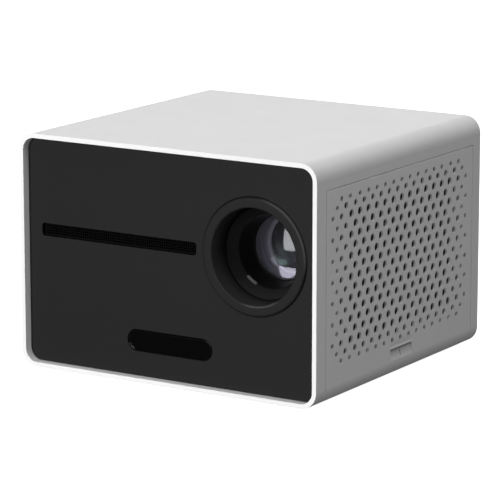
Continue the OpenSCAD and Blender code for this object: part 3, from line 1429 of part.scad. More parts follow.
sleeve();
front_panel();
lens_ring();
slot_mesh();
pill_plate();
rear_panel();
filter_cover();
filter_frame();
filter_foam();
intake_guard();
exhaust_grille();
base_tray();
rubber_feet();
tripod_bush();
tray_screws();
panel_screws();
engine_box();
engine_lid();
lid_screws();
fold_mirror();
lcd_panel();
lcd_ribbon();
front_fresnel();
rear_fresnel();
heat_glass();
condenser_lens();
led_board();
led_heat_sink();
exhaust_fan_frame();
exhaust_fan_rotor();
fan_screws();
lcd_fan_frame();
lcd_fan_rotor();
lens_holder();
cam_ring();
retaining_clip();
lens_barrel();
cam_pins();
front_glass();
middle_glass();
rear_glass();
glass_spacers();
glass_retainer();
focus_motor();
motor_shaft();
focus_pinion();
main_board();
processor_heat_sink();
board_screws();
hdmi_sockets();
usb_sockets();
audio_jack();
power_board();
power_inlet();
inlet_pins();
power_button();
button_board();
speaker_box();
speaker_baskets();
speaker_cones();
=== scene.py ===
import bmesh
import bpy
import json
import math
from mathutils import Matrix, Vector, noise

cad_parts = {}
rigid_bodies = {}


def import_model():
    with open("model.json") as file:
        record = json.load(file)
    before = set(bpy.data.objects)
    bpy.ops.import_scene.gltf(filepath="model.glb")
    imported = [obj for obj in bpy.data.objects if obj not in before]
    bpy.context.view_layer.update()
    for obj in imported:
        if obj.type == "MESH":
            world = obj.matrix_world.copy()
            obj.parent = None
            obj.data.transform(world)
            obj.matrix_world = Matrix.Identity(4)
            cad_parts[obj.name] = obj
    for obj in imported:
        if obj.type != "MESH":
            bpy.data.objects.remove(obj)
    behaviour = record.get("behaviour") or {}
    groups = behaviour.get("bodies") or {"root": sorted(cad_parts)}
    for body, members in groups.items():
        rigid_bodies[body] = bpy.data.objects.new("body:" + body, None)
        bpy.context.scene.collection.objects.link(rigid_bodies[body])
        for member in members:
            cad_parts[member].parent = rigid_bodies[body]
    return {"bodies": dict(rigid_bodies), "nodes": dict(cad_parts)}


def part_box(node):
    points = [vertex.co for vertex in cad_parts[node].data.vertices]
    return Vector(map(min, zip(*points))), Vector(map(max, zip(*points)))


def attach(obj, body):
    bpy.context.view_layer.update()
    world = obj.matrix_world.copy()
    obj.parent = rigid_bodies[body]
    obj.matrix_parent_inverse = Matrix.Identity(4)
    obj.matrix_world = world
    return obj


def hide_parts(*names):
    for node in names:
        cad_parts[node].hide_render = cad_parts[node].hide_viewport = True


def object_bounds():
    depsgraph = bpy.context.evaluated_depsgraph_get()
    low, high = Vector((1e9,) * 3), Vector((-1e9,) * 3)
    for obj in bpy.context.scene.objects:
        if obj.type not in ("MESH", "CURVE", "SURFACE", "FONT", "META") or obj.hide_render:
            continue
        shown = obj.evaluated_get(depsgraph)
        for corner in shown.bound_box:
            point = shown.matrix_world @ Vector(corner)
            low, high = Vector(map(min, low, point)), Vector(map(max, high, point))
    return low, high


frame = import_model()
cad_low, cad_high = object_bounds()

MM = 0.001
X, Y, Z = 0, 1, 2
nodes = frame["nodes"]

# The scene starts with nothing but the frame
from_frame = set(nodes.values()) | set(frame["bodies"].values())
for leftover in set(bpy.data.objects) - from_frame:
    bpy.data.objects.remove(leftover)


def middle(node):
    """Middle of a node's box."""
    low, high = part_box(node)
    return (low + high) / 2


# Places that patterns and pieces are set out from
lens = middle("lens_ring")
engine = middle("condenser_lens")
bush = middle("tripod_bush")
board_thick = 1.6 * MM
main_board_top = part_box("main_board")[0].z + board_thick
power_board_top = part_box("power_board")[0].z + board_thick
panel_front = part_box("front_panel")[0].y
ring_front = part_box("lens_ring")[0].y
barrel_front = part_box("lens_barrel")[0].y
notch_y = middle("filter_cover").y
notch_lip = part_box("sleeve")[0].z + 17.8 * MM


# ---- Shader values and nodes ----

class Value:
    """A shader socket that can be used in plain sums."""

    def __init__(self, finish, socket):
        self.finish = finish
        self.socket = socket

    def math(self, operation, *values):
        sockets = dict(enumerate(values))
        return self.finish.node("Math", {"operation": operation}, sockets)

    def __add__(self, other):
        return self.math("ADD", self, other)

    def __radd__(self, other):
        return self.math("ADD", other, self)

    def __sub__(self, other):
        return self.math("SUBTRACT", self, other)

    def __rsub__(self, other):
        return self.math("SUBTRACT", other, self)

    def __mul__(self, other):
        return self.math("MULTIPLY", self, other)

    def __rmul__(self, other):
        return self.math("MULTIPLY", other, self)

    def __truediv__(self, other):
        return self.math("DIVIDE", self, other)

    def __pow__(self, other):
        return self.math("POWER", self, other)

    def __gt__(self, other):
        return self.math("GREATER_THAN", self, other)

    def __lt__(self, other):
        return self.math("LESS_THAN", self, other)

    def sine(self):
        return self.math("SINE", self)

    def root(self):
        return self.math("SQRT", self)

    def size(self):
        return self.math("ABSOLUTE", self)

    def fraction(self):
        return self.math("FRACT", self)

    def ramp(self, low, high):
        """0 below low, 1 above high and a straight line between."""
        sockets = {0: self, 1: low, 2: high, 3: 0.0, 4: 1.0}
        return self.finish.node("MapRange", {}, sockets)


class Finish:
    """A material under construction."""

    def __init__(self, name):
        self.material = bpy.data.materials.new(name)
        self.material.use_nodes = True
        self.tree = self.material.node_tree
        self.tree.nodes.clear()
        self.place = self.node("TexCoord", out="Object")
        self.axes = [self.node("SeparateXYZ", {}, {0: self.place}, i) for i in range(3)]

    def node(self, kind, settings=None, sockets=None, out=0):
        """One node: its settings first, then the values or links of its sockets."""
        made = self.tree.nodes.new("ShaderNode" + kind)
        for name, value in (settings or {}).items():
            setattr(made, name, value)
        for name, value in (sockets or {}).items():
            if isinstance(value, Value):
                self.tree.links.new(value.socket, made.inputs[name])
            else:
                made.inputs[name].default_value = value
        return Value(self, made.outputs[out])

    def mix(self, factor, first, second):
        """One colour or the other."""
        sockets = {0: factor, 6: first, 7: second}
        return self.node("Mix", {"data_type": "RGBA"}, sockets, 2)

    def noise(self, size, detail=2.0, stretch=(1, 1, 1)):
        """Cloudy pattern with features of a size, drawn out along an axis by stretch."""
        place = self.node("Mapping", {}, {"Vector": self.place, "Scale": [1 / s for s in stretch]})
        return self.node("TexNoise", {}, {"Vector": place, "Scale": 1 / size, "Detail": detail})

    def cells(self, size):
        """Distance from the middle of the nearest cell."""
        return self.node("TexVoronoi", {"feature": "F1"}, {"Vector": self.place, "Scale": 1 / size})

    def stripes(self, coordinate, pitch):
        """Rounded ridges across a coordinate, from 0 to 1."""
        return (coordinate * (2 * math.pi / pitch)).sine() * 0.5 + 0.5

    def radius(self, centre, axis):
        """Distance from an axis line through a centre."""
        across = [i for i in range(3) if i != axis]
        squares = [(self.axes[i] - centre[i]) ** 2.0 for i in across]
        return (squares[0] + squares[1]).root()

    def bump(self, height, depth, strength=1.0, normal=None):
        """Normal of a surface that a height pattern raises by up to a depth."""
        sockets = {"Height": height, "Distance": depth, "Strength": strength}
        if normal:
            sockets["Normal"] = normal
        return self.node("Bump", {}, sockets)

    def rounded(self, radius):
        """Normal of an edge as if it were rounded."""
        return self.node("Bevel", {"samples": 6}, {"Radius": radius})

    def coat(self, **sockets):
        """A principled surface."""
        named = {name.replace("_", " "): value for name, value in sockets.items()}
        return self.node("BsdfPrincipled", {}, named)

    def surface(self, **sockets):
        """Ends the material in one principled surface."""
        return self.end(self.coat(**sockets))

    def end(self, shader):
        """Ends the material in a shader."""
        output = self.tree.nodes.new("ShaderNodeOutputMaterial")
        self.tree.links.new(shader.socket, output.inputs["Surface"])
        return self.material


def grey(level):
    """A neutral colour."""
    return (level, level, level, 1.0)


def shade(colour, by):
    """A colour made darker or lighter by a factor."""
    return tuple(channel * by for channel in colour[:3]) + (1.0,)


# ---- Finishes ----

def moulded(name, colour, rough, grain=0.35 * MM, depth=0.012 * MM, painted_shade_mask=None, **more):
    """Moulded plastic: a spark-eroded grain, faint flow markings and small edge radii.
    An optional mask paints shade in, darkening the colour down to a quarter."""
    f = Finish(name)
    fine = f.noise(grain, 3.0)
    flow = f.noise(30 * MM, 2.0, (1, 1, 2.5))
    polish = f.noise(6 * MM, 3.0)
    base = f.mix(flow, shade(colour, 0.965), shade(colour, 1.02))
    # painted shade: the mask darkens the colour towards a quarter of it
    if painted_shade_mask:
        base = f.mix(painted_shade_mask(f), base, shade(colour, 0.25))
    return f.surface(
        Base_Color=base,
        Roughness=polish * 0.12 + (rough - 0.06),
        Normal=f.bump(fine + flow * 1.5, depth, 1.0, f.rounded(0.25 * MM)),
        **more)


def gloss_plastic(name, colour):
    """Polished black plastic with the slight waviness of a moulded face."""
    f = Finish(name)
    wave = f.noise(7 * MM, 1.0)
    haze = f.noise(2 * MM, 4.0)
    return f.surface(
        Base_Color=f.mix(haze, shade(colour, 0.9), shade(colour, 1.25)),
        Roughness=haze * 0.05 + 0.06,
        Specular_IOR_Level=0.3,
        Normal=f.bump(wave, 0.01 * MM, 1.0, f.rounded(0.3 * MM)))


def turned_plastic(name, colour, rough, pitch, depth, shine, bright, highlight_gain=6):
    """Lens mouldings: fine rings about the lens axis on every face.
    Its mask argument paints highlights and lit areas in, lightening up to the given factor times its colour."""
    f = Finish(name)
    rings = f.stripes(f.radius(lens, Y) + f.axes[Y], pitch)
    grain = f.noise(0.25 * MM, 3.0)
    base = f.mix(grain, shade(colour, 0.85), shade(colour, 1.1))
    return f.surface(
        # painted highlights: the mask lightens the colour by up to the given factor
        Base_Color=f.mix(bright(f), base, shade(colour, highlight_gain)),
        Roughness=grain * 0.1 + (rough - 0.05),
        Specular_IOR_Level=shine,
        Normal=f.bump(rings + grain * 0.4, depth, 1.0, f.rounded(0.2 * MM)))


def painted_mesh(name, colour):
    """Powder-painted steel mesh."""
    f = Finish(name)
    powder = f.cells(0.22 * MM)
    return f.surface(
        Base_Color=f.mix(powder, shade(colour, 0.8), shade(colour, 1.3)),
        Roughness=powder * 0.2 + 0.6,
        Specular_IOR_Level=0.03,
        Normal=f.bump(powder, 0.03 * MM, 0.8, f.rounded(0.15 * MM)))


def woven(name, colour):
    """Plain-woven acoustic cloth."""
    f = Finish(name)
    thread = 0.5 * MM
    weave = f.stripes(f.axes[X], thread) * f.stripes(f.axes[Z], thread)
    return f.surface(
        Base_Color=f.mix(weave, shade(colour, 0.5), shade(colour, 1.4)),
        Roughness=weave * 0.1 + 0.85,
        Specular_IOR_Level=0.05,
        Normal=f.bump(weave, 0.08 * MM))


def metal(name, colour, rough, size, stretch=(1, 1, 1), depth=0.01 * MM):
    """Metal with a drawn or tumbled grain and light tarnish."""
    f = Finish(name)
    stain = 0.1
    grain = f.noise(size, 3.0, stretch)
    cloud = f.noise(9 * MM, 4.0)
    return f.surface(
        Base_Color=f.mix(cloud, shade(colour, 1 - stain), shade(colour, 1 + stain / 3)),
        Metallic=1.0,
        Roughness=grain * 0.2 + cloud * 0.08 + (rough - 0.14),
        Normal=f.bump(grain, depth, 1.0, f.rounded(0.2 * MM)))


def turned_metal(name, colour, centre, axis, pitch):
    """Metal turned in a lathe about an axis."""
    f = Finish(name)
    along = f.axes[axis]
    rings = f.stripes(f.radius(centre, axis) + along, pitch)
    cloud = f.noise(3 * MM, 4.0)
    return f.surface(
        Base_Color=f.mix(cloud, shade(colour, 0.86), colour),
        Metallic=1.0,
        Roughness=rings * 0.1 + cloud * 0.12 + 0.14,
        Normal=f.bump(rings, 0.01 * MM, 1.0, f.rounded(0.2 * MM)))


def coated_glass(name, node, tint, coatings, clear):
    """Polished optical glass: each face mirrors the colour of its anti-reflection coating.
    coatings are the front face's colour and the back face's, CLEAR or DARK."""
    f = Finish(name)
    smear = f.noise(4 * MM, 2.0)
    faces = [f.coat(
        Base_Color=f.mix(smear, shade(tint, 0.96), tint),
        Roughness=smear * 0.012 + 0.004,
        IOR=1.6,
        Transmission_Weight=clear,
        Specular_Tint=coating) for coating in coatings]
    at_back = f.axes[Y] > middle(node).y
    return f.end(f.node("MixShader", {}, {0: at_back, 1: faces[0], 2: faces[1]}))


def clear_sheet(name, tint):
    """Clear acrylic or heat glass with fine scratches."""
    f = Finish(name)
    scratch = f.noise(0.6 * MM, 4.0, (1, 1, 6))
    return f.surface(
        Base_Color=f.mix(scratch, shade(tint, 0.95), tint),
        Roughness=scratch * 0.08 + 0.02,
        IOR=1.49,
        Transmission_Weight=0.9,
        Normal=f.bump(scratch, 0.004 * MM))


def foam(name, colour):
    """Open-cell filter foam."""
    f = Finish(name)
    cell = f.cells(1.1 * MM)
    strand = f.noise(0.5 * MM, 3.0)
    return f.surface(
        Base_Color=f.mix(cell, shade(colour, 1.6), shade(colour, 0.3)),
        Roughness=strand * 0.1 + 0.85,
        Normal=f.bump(cell + strand * 0.4, 0.5 * MM, 1.0))


def rubber(name, colour):
    """Matt moulded rubber with a bloom of dust."""
    f = Finish(name)
    fine = f.noise(0.3 * MM, 4.0)
    dust = f.noise(5 * MM, 4.0)
    return f.surface(
        Base_Color=f.mix(dust.ramp(0.55, 0.8), colour, shade(colour, 2.2)),
        Roughness=fine * 0.15 + 0.75,
        Normal=f.bump(fine, 0.04 * MM, 1.0, f.rounded(0.4 * MM)))


def mirror(name):
    """Front-silvered glass with a little dust."""
    f = Finish(name)
    dust = f.noise(1.5 * MM, 5.0).ramp(0.6, 0.75)
    return f.surface(
        Base_Color=f.mix(dust, (0.93, 0.95, 0.96, 1), (0.8, 0.82, 0.82, 1)),
        Metallic=1.0,
        Roughness=dust * 0.2 + 0.01)


def picture_panel(name):
    """LCD panel: a fine grid of cells inside a black mask."""
    f = Finish(name)
    low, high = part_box("lcd_panel")
    centre = (low + high) / 2
    border = 8 * MM
    across = (f.axes[Y] - centre.y).size()
    up = (f.axes[Z] - centre.z).size()
    inside = (across < (high.y - low.y) / 2 - border) * (up < (high.z - low.z) / 2 - border)
    pitch = 0.3 * MM
    grid = f.stripes(f.axes[Y], pitch) * f.stripes(f.axes[Z], pitch)
    picture = f.mix(grid, (0.01, 0.014, 0.03, 1), (0.05, 0.08, 0.14, 1))
    return f.surface(
        Base_Color=f.mix(inside, (0.006, 0.006, 0.008, 1), picture),
        Roughness=grid * 0.06 + 0.08,
        Coat_Weight=0.5)


def ribbon(name):
    """Amber film with copper tracks along its length."""
    f = Finish(name)
    track = f.stripes(f.axes[Y], 0.5 * MM) > 0.55
    cloud = f.noise(3 * MM, 2.0)
    film = f.mix(cloud, (0.42, 0.2, 0.05, 1), (0.52, 0.28, 0.09, 1))
    return f.surface(
        Base_Color=f.mix(track, film, (0.62, 0.3, 0.12, 1)),
        Metallic=track * 0.5,
        Roughness=cloud * 0.1 + 0.2,
        Normal=f.bump(track, 0.02 * MM))


def circuit(name, mask_colour, track_colour, top, parts_colour):
    """Circuit board: tracks under a solder mask, tinned pads, and dark parts above its top face."""
    f = Finish(name)
    lane = 2.2 * MM
    place = f.node("Mapping", {}, {"Vector": f.place, "Scale": (1 / lane, 1 / lane, 0)})
    plan = {"feature": "F2", "distance": "CHEBYCHEV"}
    routes = f.node("TexVoronoi", plan, {"Vector": place, "Scale": 1.0})
    lanes = (routes * 6.0).fraction()
    track = lanes.ramp(0.45, 0.55)
    pads = f.cells(2.6 * MM).ramp(0.12, 0.1)
    clear_of_mask = 0.05 * MM
    above = f.axes[Z] > top + clear_of_mask
    grain = f.noise(0.4 * MM, 3.0)
    board = f.mix(track, mask_colour, track_colour)
    board = f.mix(pads, board, (0.7, 0.68, 0.62, 1))
    parts = f.mix(grain, shade(parts_colour, 0.8), shade(parts_colour, 1.3))
    bare = (1.0 - above) * pads
    return f.surface(
        Base_Color=f.mix(above, board, parts),
        Metallic=bare * 0.9,
        Roughness=above * 0.25 + grain * 0.1 + 0.22,
        Normal=f.bump(track * (1.0 - above) + grain * 0.2, 0.03 * MM, 1.0, f.rounded(0.2 * MM)))


def led_plate(name):
    """Copper-cored board with a white mask and a yellow phosphor LED."""
    f = Finish(name)
    low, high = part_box("led_board")
    away = f.radius(engine, X)
    chip = (f.axes[X] > high.x - 1.25 * MM) * (away < 10 * MM)
    phosphor = (f.axes[X] > high.x - 0.45 * MM) * (away < 8 * MM)
    copper = (away - 17 * MM).size() < 1.2 * MM
    grain = f.noise(0.5 * MM, 3.0)
    mask = f.mix(grain, (0.78, 0.78, 0.75, 1), (0.84, 0.84, 0.82, 1))
    plate = f.mix(copper, mask, (0.75, 0.42, 0.25, 1))
    plate = f.mix(chip, plate, (0.9, 0.9, 0.88, 1))
    return f.surface(
        Base_Color=f.mix(phosphor, plate, (0.85, 0.72, 0.12, 1)),
        Metallic=copper * (1.0 - chip),
        Roughness=grain * 0.15 + 0.3,
        Normal=f.bump(grain, 0.02 * MM, 1.0, f.rounded(0.2 * MM)))


def speaker_paper(name):
    """Felted paper cone with a rubber surround."""
    f = Finish(name)
    fibre = f.noise(0.5 * MM, 5.0, (1, 1, 3))
    ribs = f.stripes(f.axes[Y], 1.2 * MM)
    return f.surface(
        Base_Color=f.mix(fibre, (0.012, 0.012, 0.012, 1), (0.04, 0.038, 0.036, 1)),
        Roughness=fibre * 0.2 + 0.7,
        Normal=f.bump(fibre + ribs * 0.3, 0.1 * MM, 1.0))


# ---- Which node gets which finish ----

WHITE = grey(0.80)
BLACK = grey(0.0135)
INSIDE = grey(0.03)
CLEAR = (0.95, 0.95, 1, 1)
DARK = (0.03, 0.05, 0.04, 1)
MASK_GREEN = (0.008, 0.09, 0.035, 1)
TRACK_GREEN = (0.02, 0.17, 0.07, 1)


def notch_painted_shade(f):
    """Painted shade under the lip of the finger notch, fading out below it."""
    half_width = 12.7 * MM
    soft = 0.5 * MM
    inside = (f.axes[Y] - notch_y).size().ramp(half_width + soft, half_width - soft)
    below = notch_lip - f.axes[Z]
    under_lip = below.ramp(0, 0.2 * MM)
    corner = under_lip * below.ramp(2.2 * MM, 0.9 * MM)
    hollow = under_lip * below.ramp(7.5 * MM, 2 * MM)
    return inside * (corner * 0.6 + hollow * 0.3)


def toward(f, azimuth):
    """How far a point lies from the lens axis in one direction."""
    side_part = (f.axes[X] - lens.x) * math.cos(azimuth)
    return side_part + (f.axes[Z] - lens.z) * math.sin(azimuth)


def ring_painted_highlights(f):
    """Painted highlights on the bright edges of the trim ring's face, and painted light on the mouth and
    foot of its bore.
    """
    face_r = 33.6 * MM
    bore_r = 28.5 * MM
    away = f.radius(lens, Y)
    depth = f.axes[Y] - ring_front
    face = depth.ramp(1 * MM, 0.6 * MM)
    wall = away.ramp(bore_r, bore_r - 0.25 * MM)
    outer = away.ramp(face_r - 0.3 * MM, face_r) * toward(f, math.radians(37)).ramp(22 * MM, 30 * MM)
    inner = away.ramp(bore_r + 0.7 * MM, bore_r + 0.4 * MM) * toward(f, math.radians(-80)).ramp(
        25.5 * MM, 27.8 * MM)
    mouth = wall * depth.ramp(15 * MM, 0.5 * MM)
    foot = wall * toward(f, math.radians(-115)).ramp(12 * MM, 26 * MM) * depth.ramp(0, 9 * MM)
    return outer * 0.6 + inner * face * 0.6 + mouth * 0.32 + foot * 0.4


def mouth_painted_highlight(f):
    """Painted highlight: a bright glint on the edge of the barrel's mouth, and painted light on the lower
    part of its cone.
    """
    depth = f.axes[Y] - barrel_front
    edge = depth.ramp(4.4 * MM, 4.8 * MM) * depth.ramp(6.3 * MM, 6 * MM)
    turned_to = toward(f, math.radians(-125)) / f.radius(lens, Y)
    glint = edge * turned_to.ramp(0.984, 0.99)
    cone = depth.ramp(5.8 * MM, 5 * MM) * toward(f, math.radians(-80)).ramp(12 * MM, 25 * MM)
    return glint + cone * 0.075


def baffle_painted_highlights(f):
    """Painted highlights on the last and first steps of the baffle."""
    away = f.radius(lens, Y)
    last = away.ramp(15.6 * MM, 14.6 * MM)
    first = away.ramp(20.4 * MM, 20.7 * MM)
    return last * 0.3 + first * 0.12


def recess_painted_shade(f):
    """Painted shade on the walls of the slot and everything else from 0.5 mm behind the front face, in full
    from 0.9 mm.
    """
    return (f.axes[Y] - panel_front).ramp(0.5 * MM, 0.9 * MM)


shell = moulded("white shell", WHITE, 0.42)
# painted shade under the lip of the finger notch
side = moulded("white side panel", WHITE, 0.42, painted_shade_mask=notch_painted_shade)
zinc = metal("zinc plate", (0.62, 0.63, 0.66, 1), 0.32, 0.25 * MM)
steel = metal("bright steel", (0.6, 0.6, 0.61, 1), 0.26, 0.3 * MM, (1, 5, 1))
aluminium = metal("extruded aluminium", (0.72, 0.73, 0.75, 1), 0.34, 0.2 * MM, (1, 1, 12), 0.02 * MM)
inner = moulded("inner moulding", INSIDE, 0.5, 0.5 * MM, 0.02 * MM)
fan_plastic = moulded("fan moulding", grey(0.018), 0.38, 0.3 * MM)
acetal = moulded("white acetal", (0.72, 0.71, 0.65, 1), 0.35, 0.4 * MM)
connector = moulded("connector moulding", grey(0.015), 0.4, 0.3 * MM)
# painted highlight and painted light on the barrel's mouth
barrel = turned_plastic("barrel moulding", grey(0.0065), 0.5, 0.5 * MM, 0.006 * MM, 0.1, mouth_painted_highlight, 16)
green_board = circuit("green board", MASK_GREEN, TRACK_GREEN, main_board_top, grey(0.02))
button_board = circuit("button board", MASK_GREEN, TRACK_GREEN, cad_high.z, grey(0.02))
brown_board = circuit("brown board", (0.28, 0.17, 0.07, 1), (0.36, 0.22, 0.1, 1), power_board_top,
                      (0.3, 0.24, 0.05, 1))
clear = clear_sheet("clear sheet", (0.93, 0.96, 0.97, 1))

finishes = {
    shell: ["sleeve", "exhaust_grille"],
    side: ["filter_cover"],
    # painted shade on the walls of the slot
    moulded("black front panel", BLACK, 0.55, 0.2 * MM, 0.004 * MM,
            painted_shade_mask=recess_painted_shade, Specular_IOR_Level=0.08): ["front_panel"],
    moulded("black rear panel", grey(0.02), 0.55, 0.5 * MM, 0.03 * MM): ["rear_panel"],
    # painted highlights on the trim ring's edges and painted light in its bore
    turned_plastic("lens trim", grey(0.0122), 0.5, 0.8 * MM, 0.004 * MM, 0.08, ring_painted_highlights): ["lens_ring"],
    painted_mesh("speaker mesh", grey(0.002)): ["slot_mesh"],
    gloss_plastic("gloss pill", grey(0.0015)): ["pill_plate"],
    barrel: ["lens_barrel", "glass_spacers", "glass_retainer"],
    coated_glass("front glass", "front_glass", (0.92, 0.91, 1, 1), (CLEAR, DARK), 0.945): ["front_glass"],
    coated_glass("middle glass", "middle_glass", (0.95, 0.98, 0.97, 1), (DARK, DARK), 1.0): ["middle_glass"],
    coated_glass("rear glass", "rear_glass", (0.97, 0.95, 1, 1), (DARK, DARK), 1.0): [
        "rear_glass", "condenser_lens"],
    inner: ["filter_frame", "intake_guard", "base_tray", "engine_box", "engine_lid", "lens_holder",
            "speaker_box"],
    rubber("foot rubber", grey(0.02)): ["rubber_feet"],
    turned_metal("turned brass", (0.78, 0.56, 0.25, 1), bush, Z, 0.4 * MM): ["tripod_bush"],
    zinc: ["tray_screws", "panel_screws", "lid_screws", "fan_screws", "board_screws"],
    mirror("front-silvered mirror"): ["fold_mirror"],
    picture_panel("picture panel"): ["lcd_panel"],
    ribbon("ribbon film"): ["lcd_ribbon"],
    clear: ["front_fresnel", "rear_fresnel", "heat_glass"],
    led_plate("LED board"): ["led_board"],
    aluminium: ["led_heat_sink", "processor_heat_sink"],
    fan_plastic: ["exhaust_fan_frame", "exhaust_fan_rotor", "lcd_fan_frame", "lcd_fan_rotor"],
    acetal: ["cam_ring", "focus_pinion"],
    steel: ["retaining_clip", "cam_pins", "focus_motor", "motor_shaft", "hdmi_sockets", "usb_sockets",
            "inlet_pins"],
    painted_mesh("basket paint", grey(0.004)): ["speaker_baskets"],
    green_board: ["main_board"],
    button_board: ["button_board"],
    brown_board: ["power_board"],
    speaker_paper("speaker paper"): ["speaker_cones"],
    moulded("button moulding", grey(0.03), 0.4, 0.3 * MM): ["power_button"],
    connector: ["audio_jack", "power_inlet"],
}
for material, dressed in finishes.items():
    for name in dressed:
        nodes[name].material_slots[0].material = material


# ---- Pieces beside the solids ----

def finished(name, mesh, material, body):
    """Puts a mesh into the scene as a piece that moves with a body."""
    bmesh.ops.recalc_face_normals(mesh, faces=mesh.faces)
    made = bpy.data.meshes.new(name)
    mesh.to_mesh(made)
    mesh.free()
    made.materials.append(material)
    piece = bpy.data.objects.new(name, made)
    bpy.context.scene.collection.objects.link(piece)
    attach(piece, body)
    return piece


def soften(mesh, radius):
    """Small radius on every edge that turns by more than 30 degrees."""
    sharp = [edge for edge in mesh.edges if edge.calc_face_angle(0) > math.radians(30)]
    bmesh.ops.bevel(mesh, geom=sharp, offset=radius, segments=2, affect="EDGES", profile=0.5, material=-1)


def turned(points):
    """Closed section, as radius and depth, spun about the lens axis."""
    mesh = bmesh.new()
    corners = [mesh.verts.new((lens.x + r, y, lens.z)) for r, y in points]
    edges = [mesh.edges.new((a, b)) for a, b in zip(corners, corners[1:] + corners[:1])]
    bmesh.ops.spin(mesh, geom=corners + edges, cent=lens, axis=(0, 1, 0), angle=math.tau, steps=96,
                   use_merge=True)
    return mesh


def thicken(mesh, thickness):
    """Draws the faces out into a slab."""
    grown = bmesh.ops.extrude_face_region(mesh, geom=mesh.faces[:])
    moved = [item for item in grown["geom"] if isinstance(item, bmesh.types.BMVert)]
    bmesh.ops.translate(mesh, verts=moved, vec=thickness)


def lens_baffle():
    """Stepped cone that keeps stray light off the middle glass."""
    low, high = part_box("glass_spacers")
    wall = 1.25 * MM
    outer = (high.x - low.x) / 2 - wall
    inner = 13.6 * MM
    front = low.y + 0.4 * MM
    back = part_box("middle_glass")[0].y - 0.1 * MM
    steps = 6
    stairs = []
    for i in range(steps):
        r = outer + (inner - outer) * i / (steps - 1)
        near = front + (back - front) * i / steps
        far = front + (back - front) * (i + 1) / steps
        stairs += [(r, near), (r, far)]
    mesh = turned(stairs + [(outer + 0.01 * MM, back)])
    soften(mesh, 0.08 * MM)
    # painted highlights on the baffle's first and last steps
    finish = turned_plastic("baffle moulding", grey(0.17), 0.5, 0.4 * MM, 0.01 * MM, 0.2, baffle_painted_highlights)
    finished("lens_baffle", mesh, finish, "barrel")


def slot_cloth():
    """Acoustic cloth stretched behind the slot mesh, with rounded ends."""
    low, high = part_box("slot_mesh")
    centre = (low + high) / 2
    hem = 0.6 * MM
    gap = 0.1 * MM
    thickness = 0.4 * MM
    radius = (high.z - low.z) / 2 - hem
    half = (high.x - low.x) / 2 - hem - radius
    mesh = bmesh.new()
    corners = []
    for end, start in ((1, -90), (-1, 90)):
        for i in range(13):
            turn = math.radians(start + 15 * i)
            x = centre.x + end * half + radius * math.cos(turn)
            corners.append(mesh.verts.new((x, high.y + gap, centre.z + radius * math.sin(turn))))
    mesh.faces.new(corners)
    thicken(mesh, (0, thickness, 0))
    cloth = finished("slot_cloth", mesh, woven("acoustic cloth", grey(0.004)), "housing")


def filter_pad():
    """Foam pad of the filter: torn open cells on both faces, and edges that sink in a little."""
    low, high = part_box("filter_foam")
    centre = (low + high) / 2
    size = high - low
    pitch = 1.5 * MM
    cell = 2.4 * MM
    edge_band = 4 * MM
    mesh = bmesh.new()
    bmesh.ops.create_grid(mesh, x_segments=round(size.z / pitch), y_segments=round(size.y / pitch), size=0.5)
    bmesh.ops.rotate(mesh, verts=mesh.verts, matrix=Matrix.Rotation(math.radians(90), 3, "Y"))
    bmesh.ops.scale(mesh, verts=mesh.verts, vec=(1, size.y, size.z))
    bmesh.ops.translate(mesh, verts=mesh.verts, vec=(low.x, centre.y, centre.z))
    thicken(mesh, (size.x, 0, 0))
    for corner in mesh.verts:
        border = min(size.y / 2 - abs(corner.co.y - centre.y), size.z / 2 - abs(corner.co.z - centre.z))
        torn = 0.5 + 0.5 * noise.noise(corner.co / cell)
        sunk = max(0, 1 - border / edge_band)
        dent = 0.5 * MM * torn + 0.4 * MM * sunk
        corner.co.x += dent if corner.co.x < centre.x else -dent
    pad = finished("filter_pad", mesh, foam("filter foam", grey(0.02)), "filter_door")
    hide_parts("filter_foam")


lens_baffle()
slot_cloth()
filter_pad()


# ---- Studio ----

def studio_paper():
    """Pale floor, and a round wall of the same paper, 8 m away on every side."""
    reach = 8
    wall_height = 6
    f = Finish("studio paper")
    cloud = f.noise(0.3, 2.0)
    material = f.surface(
        Base_Color=f.mix(cloud, (0.86, 0.86, 0.86, 1), (0.87, 0.87, 0.87, 1)),
        Roughness=0.9,
        Emission_Color=(1, 1, 1, 1),
        Emission_Strength=0.9)
    ground = bmesh.new()
    bmesh.ops.create_grid(ground, x_segments=1, y_segments=1, size=reach)
    wall = bmesh.new()
    corners = [wall.verts.new((reach - 0.1, 0, height)) for height in (0, wall_height)]
    upright = wall.edges.new(corners)
    bmesh.ops.spin(wall, geom=corners + [upright], cent=(0, 0, 0), axis=(0, 0, 1), angle=math.tau, steps=64,
                   use_merge=True)
    for name, mesh in (("floor", ground), ("backdrop", wall)):
        made = bpy.data.meshes.new(name)
        mesh.to_mesh(made)
        mesh.free()
        made.materials.append(material)
        piece = bpy.data.objects.new(name, made)
        bpy.context.scene.collection.objects.link(piece)
        piece.visible_diffuse = False
        piece.visible_glossy = False
        piece.visible_transmission = False
        piece.visible_shadow = False


def softbox(name, place, width, height, power, aim):
    """Flat lamp in metres and watts, turned towards a point."""
    lamp = bpy.data.lights.new(name, "AREA")
    lamp.shape = "RECTANGLE"
    lamp.size = width
    lamp.size_y = height
    lamp.energy = power
    piece = bpy.data.objects.new(name, lamp)
    piece.location = place
    piece.rotation_euler = (Vector(aim) - Vector(place)).to_track_quat("-Z", "Y").to_euler()
    piece.visible_camera = False
    bpy.context.scene.collection.objects.link(piece)
    return piece


def link_light(light, names, state="INCLUDE"):
    """Keeps a light to a few pieces, or off them."""
    lit = bpy.data.collections.new(light.name)
    for name in names:
        lit.objects.link(bpy.data.objects.get(name) or nodes[name])
    for linked in lit.collection_objects:
        linked.light_linking.link_state = state
    light.light_linking.receiver_collection = lit


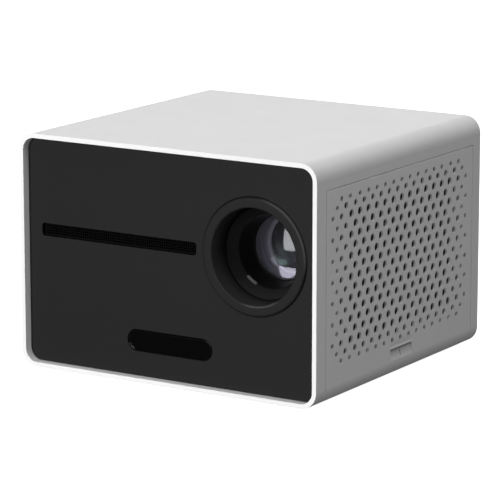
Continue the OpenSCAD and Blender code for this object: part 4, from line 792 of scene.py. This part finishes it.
def lens_card(name, place, faces, width, height, radiance, colour):
    """Small card, invisible in itself, that only the front glass mirrors: in mm from the lens."""
    power = radiance * width * height * MM * MM
    card = softbox(name, lens + Vector(place) * MM, width * MM, height * MM, power,
                   lens + Vector(faces) * MM)
    card.data.color = colour
    card.visible_diffuse = False
    link_light(card, ["front_glass"])


def studio():
    """Paper, lamps and a faint even sky."""
    studio_paper()
    aim = (0, 0, 0.07)
    in_front = (-0.4, -2.2, 0.35)
    front = softbox("front softbox", in_front, 0.9, 0.7, 49.7, aim)
    link_light(front, ["front_glass", "middle_glass", "sleeve"], "EXCLUDE")
    front_fill = softbox("front fill", in_front, 0.9, 0.7, 52.8, aim)
    front_fill.visible_glossy = False
    link_light(front_fill, ["sleeve"])
    softbox("right softbox", (2.0, -0.3, 1.2), 0.9, 0.9, 9.4, aim)
    softbox("high fill", (0.9, -0.7, 2.1), 0.7, 0.7, 5.4, aim)
    softbox("top softbox", (-0.1, 0.1, 2.0), 1.8, 1.6, 24.3, aim)
    softbox("floor bounce", (0.9, -1.0, -0.9), 1.2, 1.2, 3.2, aim)
    back = softbox("back wall", (-1.3, 2.1, 0.5), 3.0, 1.0, 12.9, aim)
    back.visible_diffuse = False
    rear = softbox("rear softbox", (0.5, 2.0, 0.9), 0.9, 0.9, 30, aim)
    link_light(rear, ["rear_panel", "power_inlet", "inlet_pins", "hdmi_sockets", "usb_sockets", "audio_jack",
                      "power_button", "panel_screws"])
    lens_card("upper card", (-100, -261, -10), (0, 0, 0), 90, 130, 19, (1, 1, 1))
    lens_card("lower card", (-3.6, 15.7, -18.9), (-3.6, 17.7, 0), 19, 10.5, 22, (0.9, 0.86, 1))
    lens_card("green card", (-7, 9.5, -14.5), (-5, 21, -10), 8, 4.5, 6, (0.7, 1, 0.95))
    lens_card("side card", (-15.5, 14.5, -14.5), (-8, 19, -6), 9, 8, 7, (0.85, 0.88, 1))
    recess = softbox("recess fill", (0.42, -0.62, 0.22), 0.12, 0.12, 0.35, lens)
    link_light(recess, ["lens_ring", "lens_barrel", "glass_spacers", "front_glass", "middle_glass",
                        "lens_baffle"])
    world = bpy.data.worlds.new("studio")
    world.use_nodes = True
    sky = world.node_tree.nodes["Background"].inputs
    sky["Color"].default_value = (1, 1, 1, 1)
    sky["Strength"].default_value = 0.038
    bpy.context.scene.world = world
    bpy.context.scene.view_settings.view_transform = "Standard"


def camera():
    """Camera to the right of the front and a little above."""
    azimuth = math.radians(32.107)
    elevation = math.radians(12.020)
    distance = 1.813
    target = (cad_low + cad_high) / 2 + Vector((-2.21, -0.1, -5.45)) * MM
    away = Vector((math.sin(azimuth) * math.cos(elevation),
                   -math.cos(azimuth) * math.cos(elevation),
                   math.sin(elevation)))
    lens_data = bpy.data.cameras.new("camera")
    lens_data.lens = 217.9
    lens_data.sensor_width = 36
    piece = bpy.data.objects.new("camera", lens_data)
    piece.location = target + away * distance
    piece.rotation_euler = (-away).to_track_quat("-Z", "Y").to_euler()
    bpy.context.scene.collection.objects.link(piece)
    bpy.context.scene.camera = piece


studio()
camera()
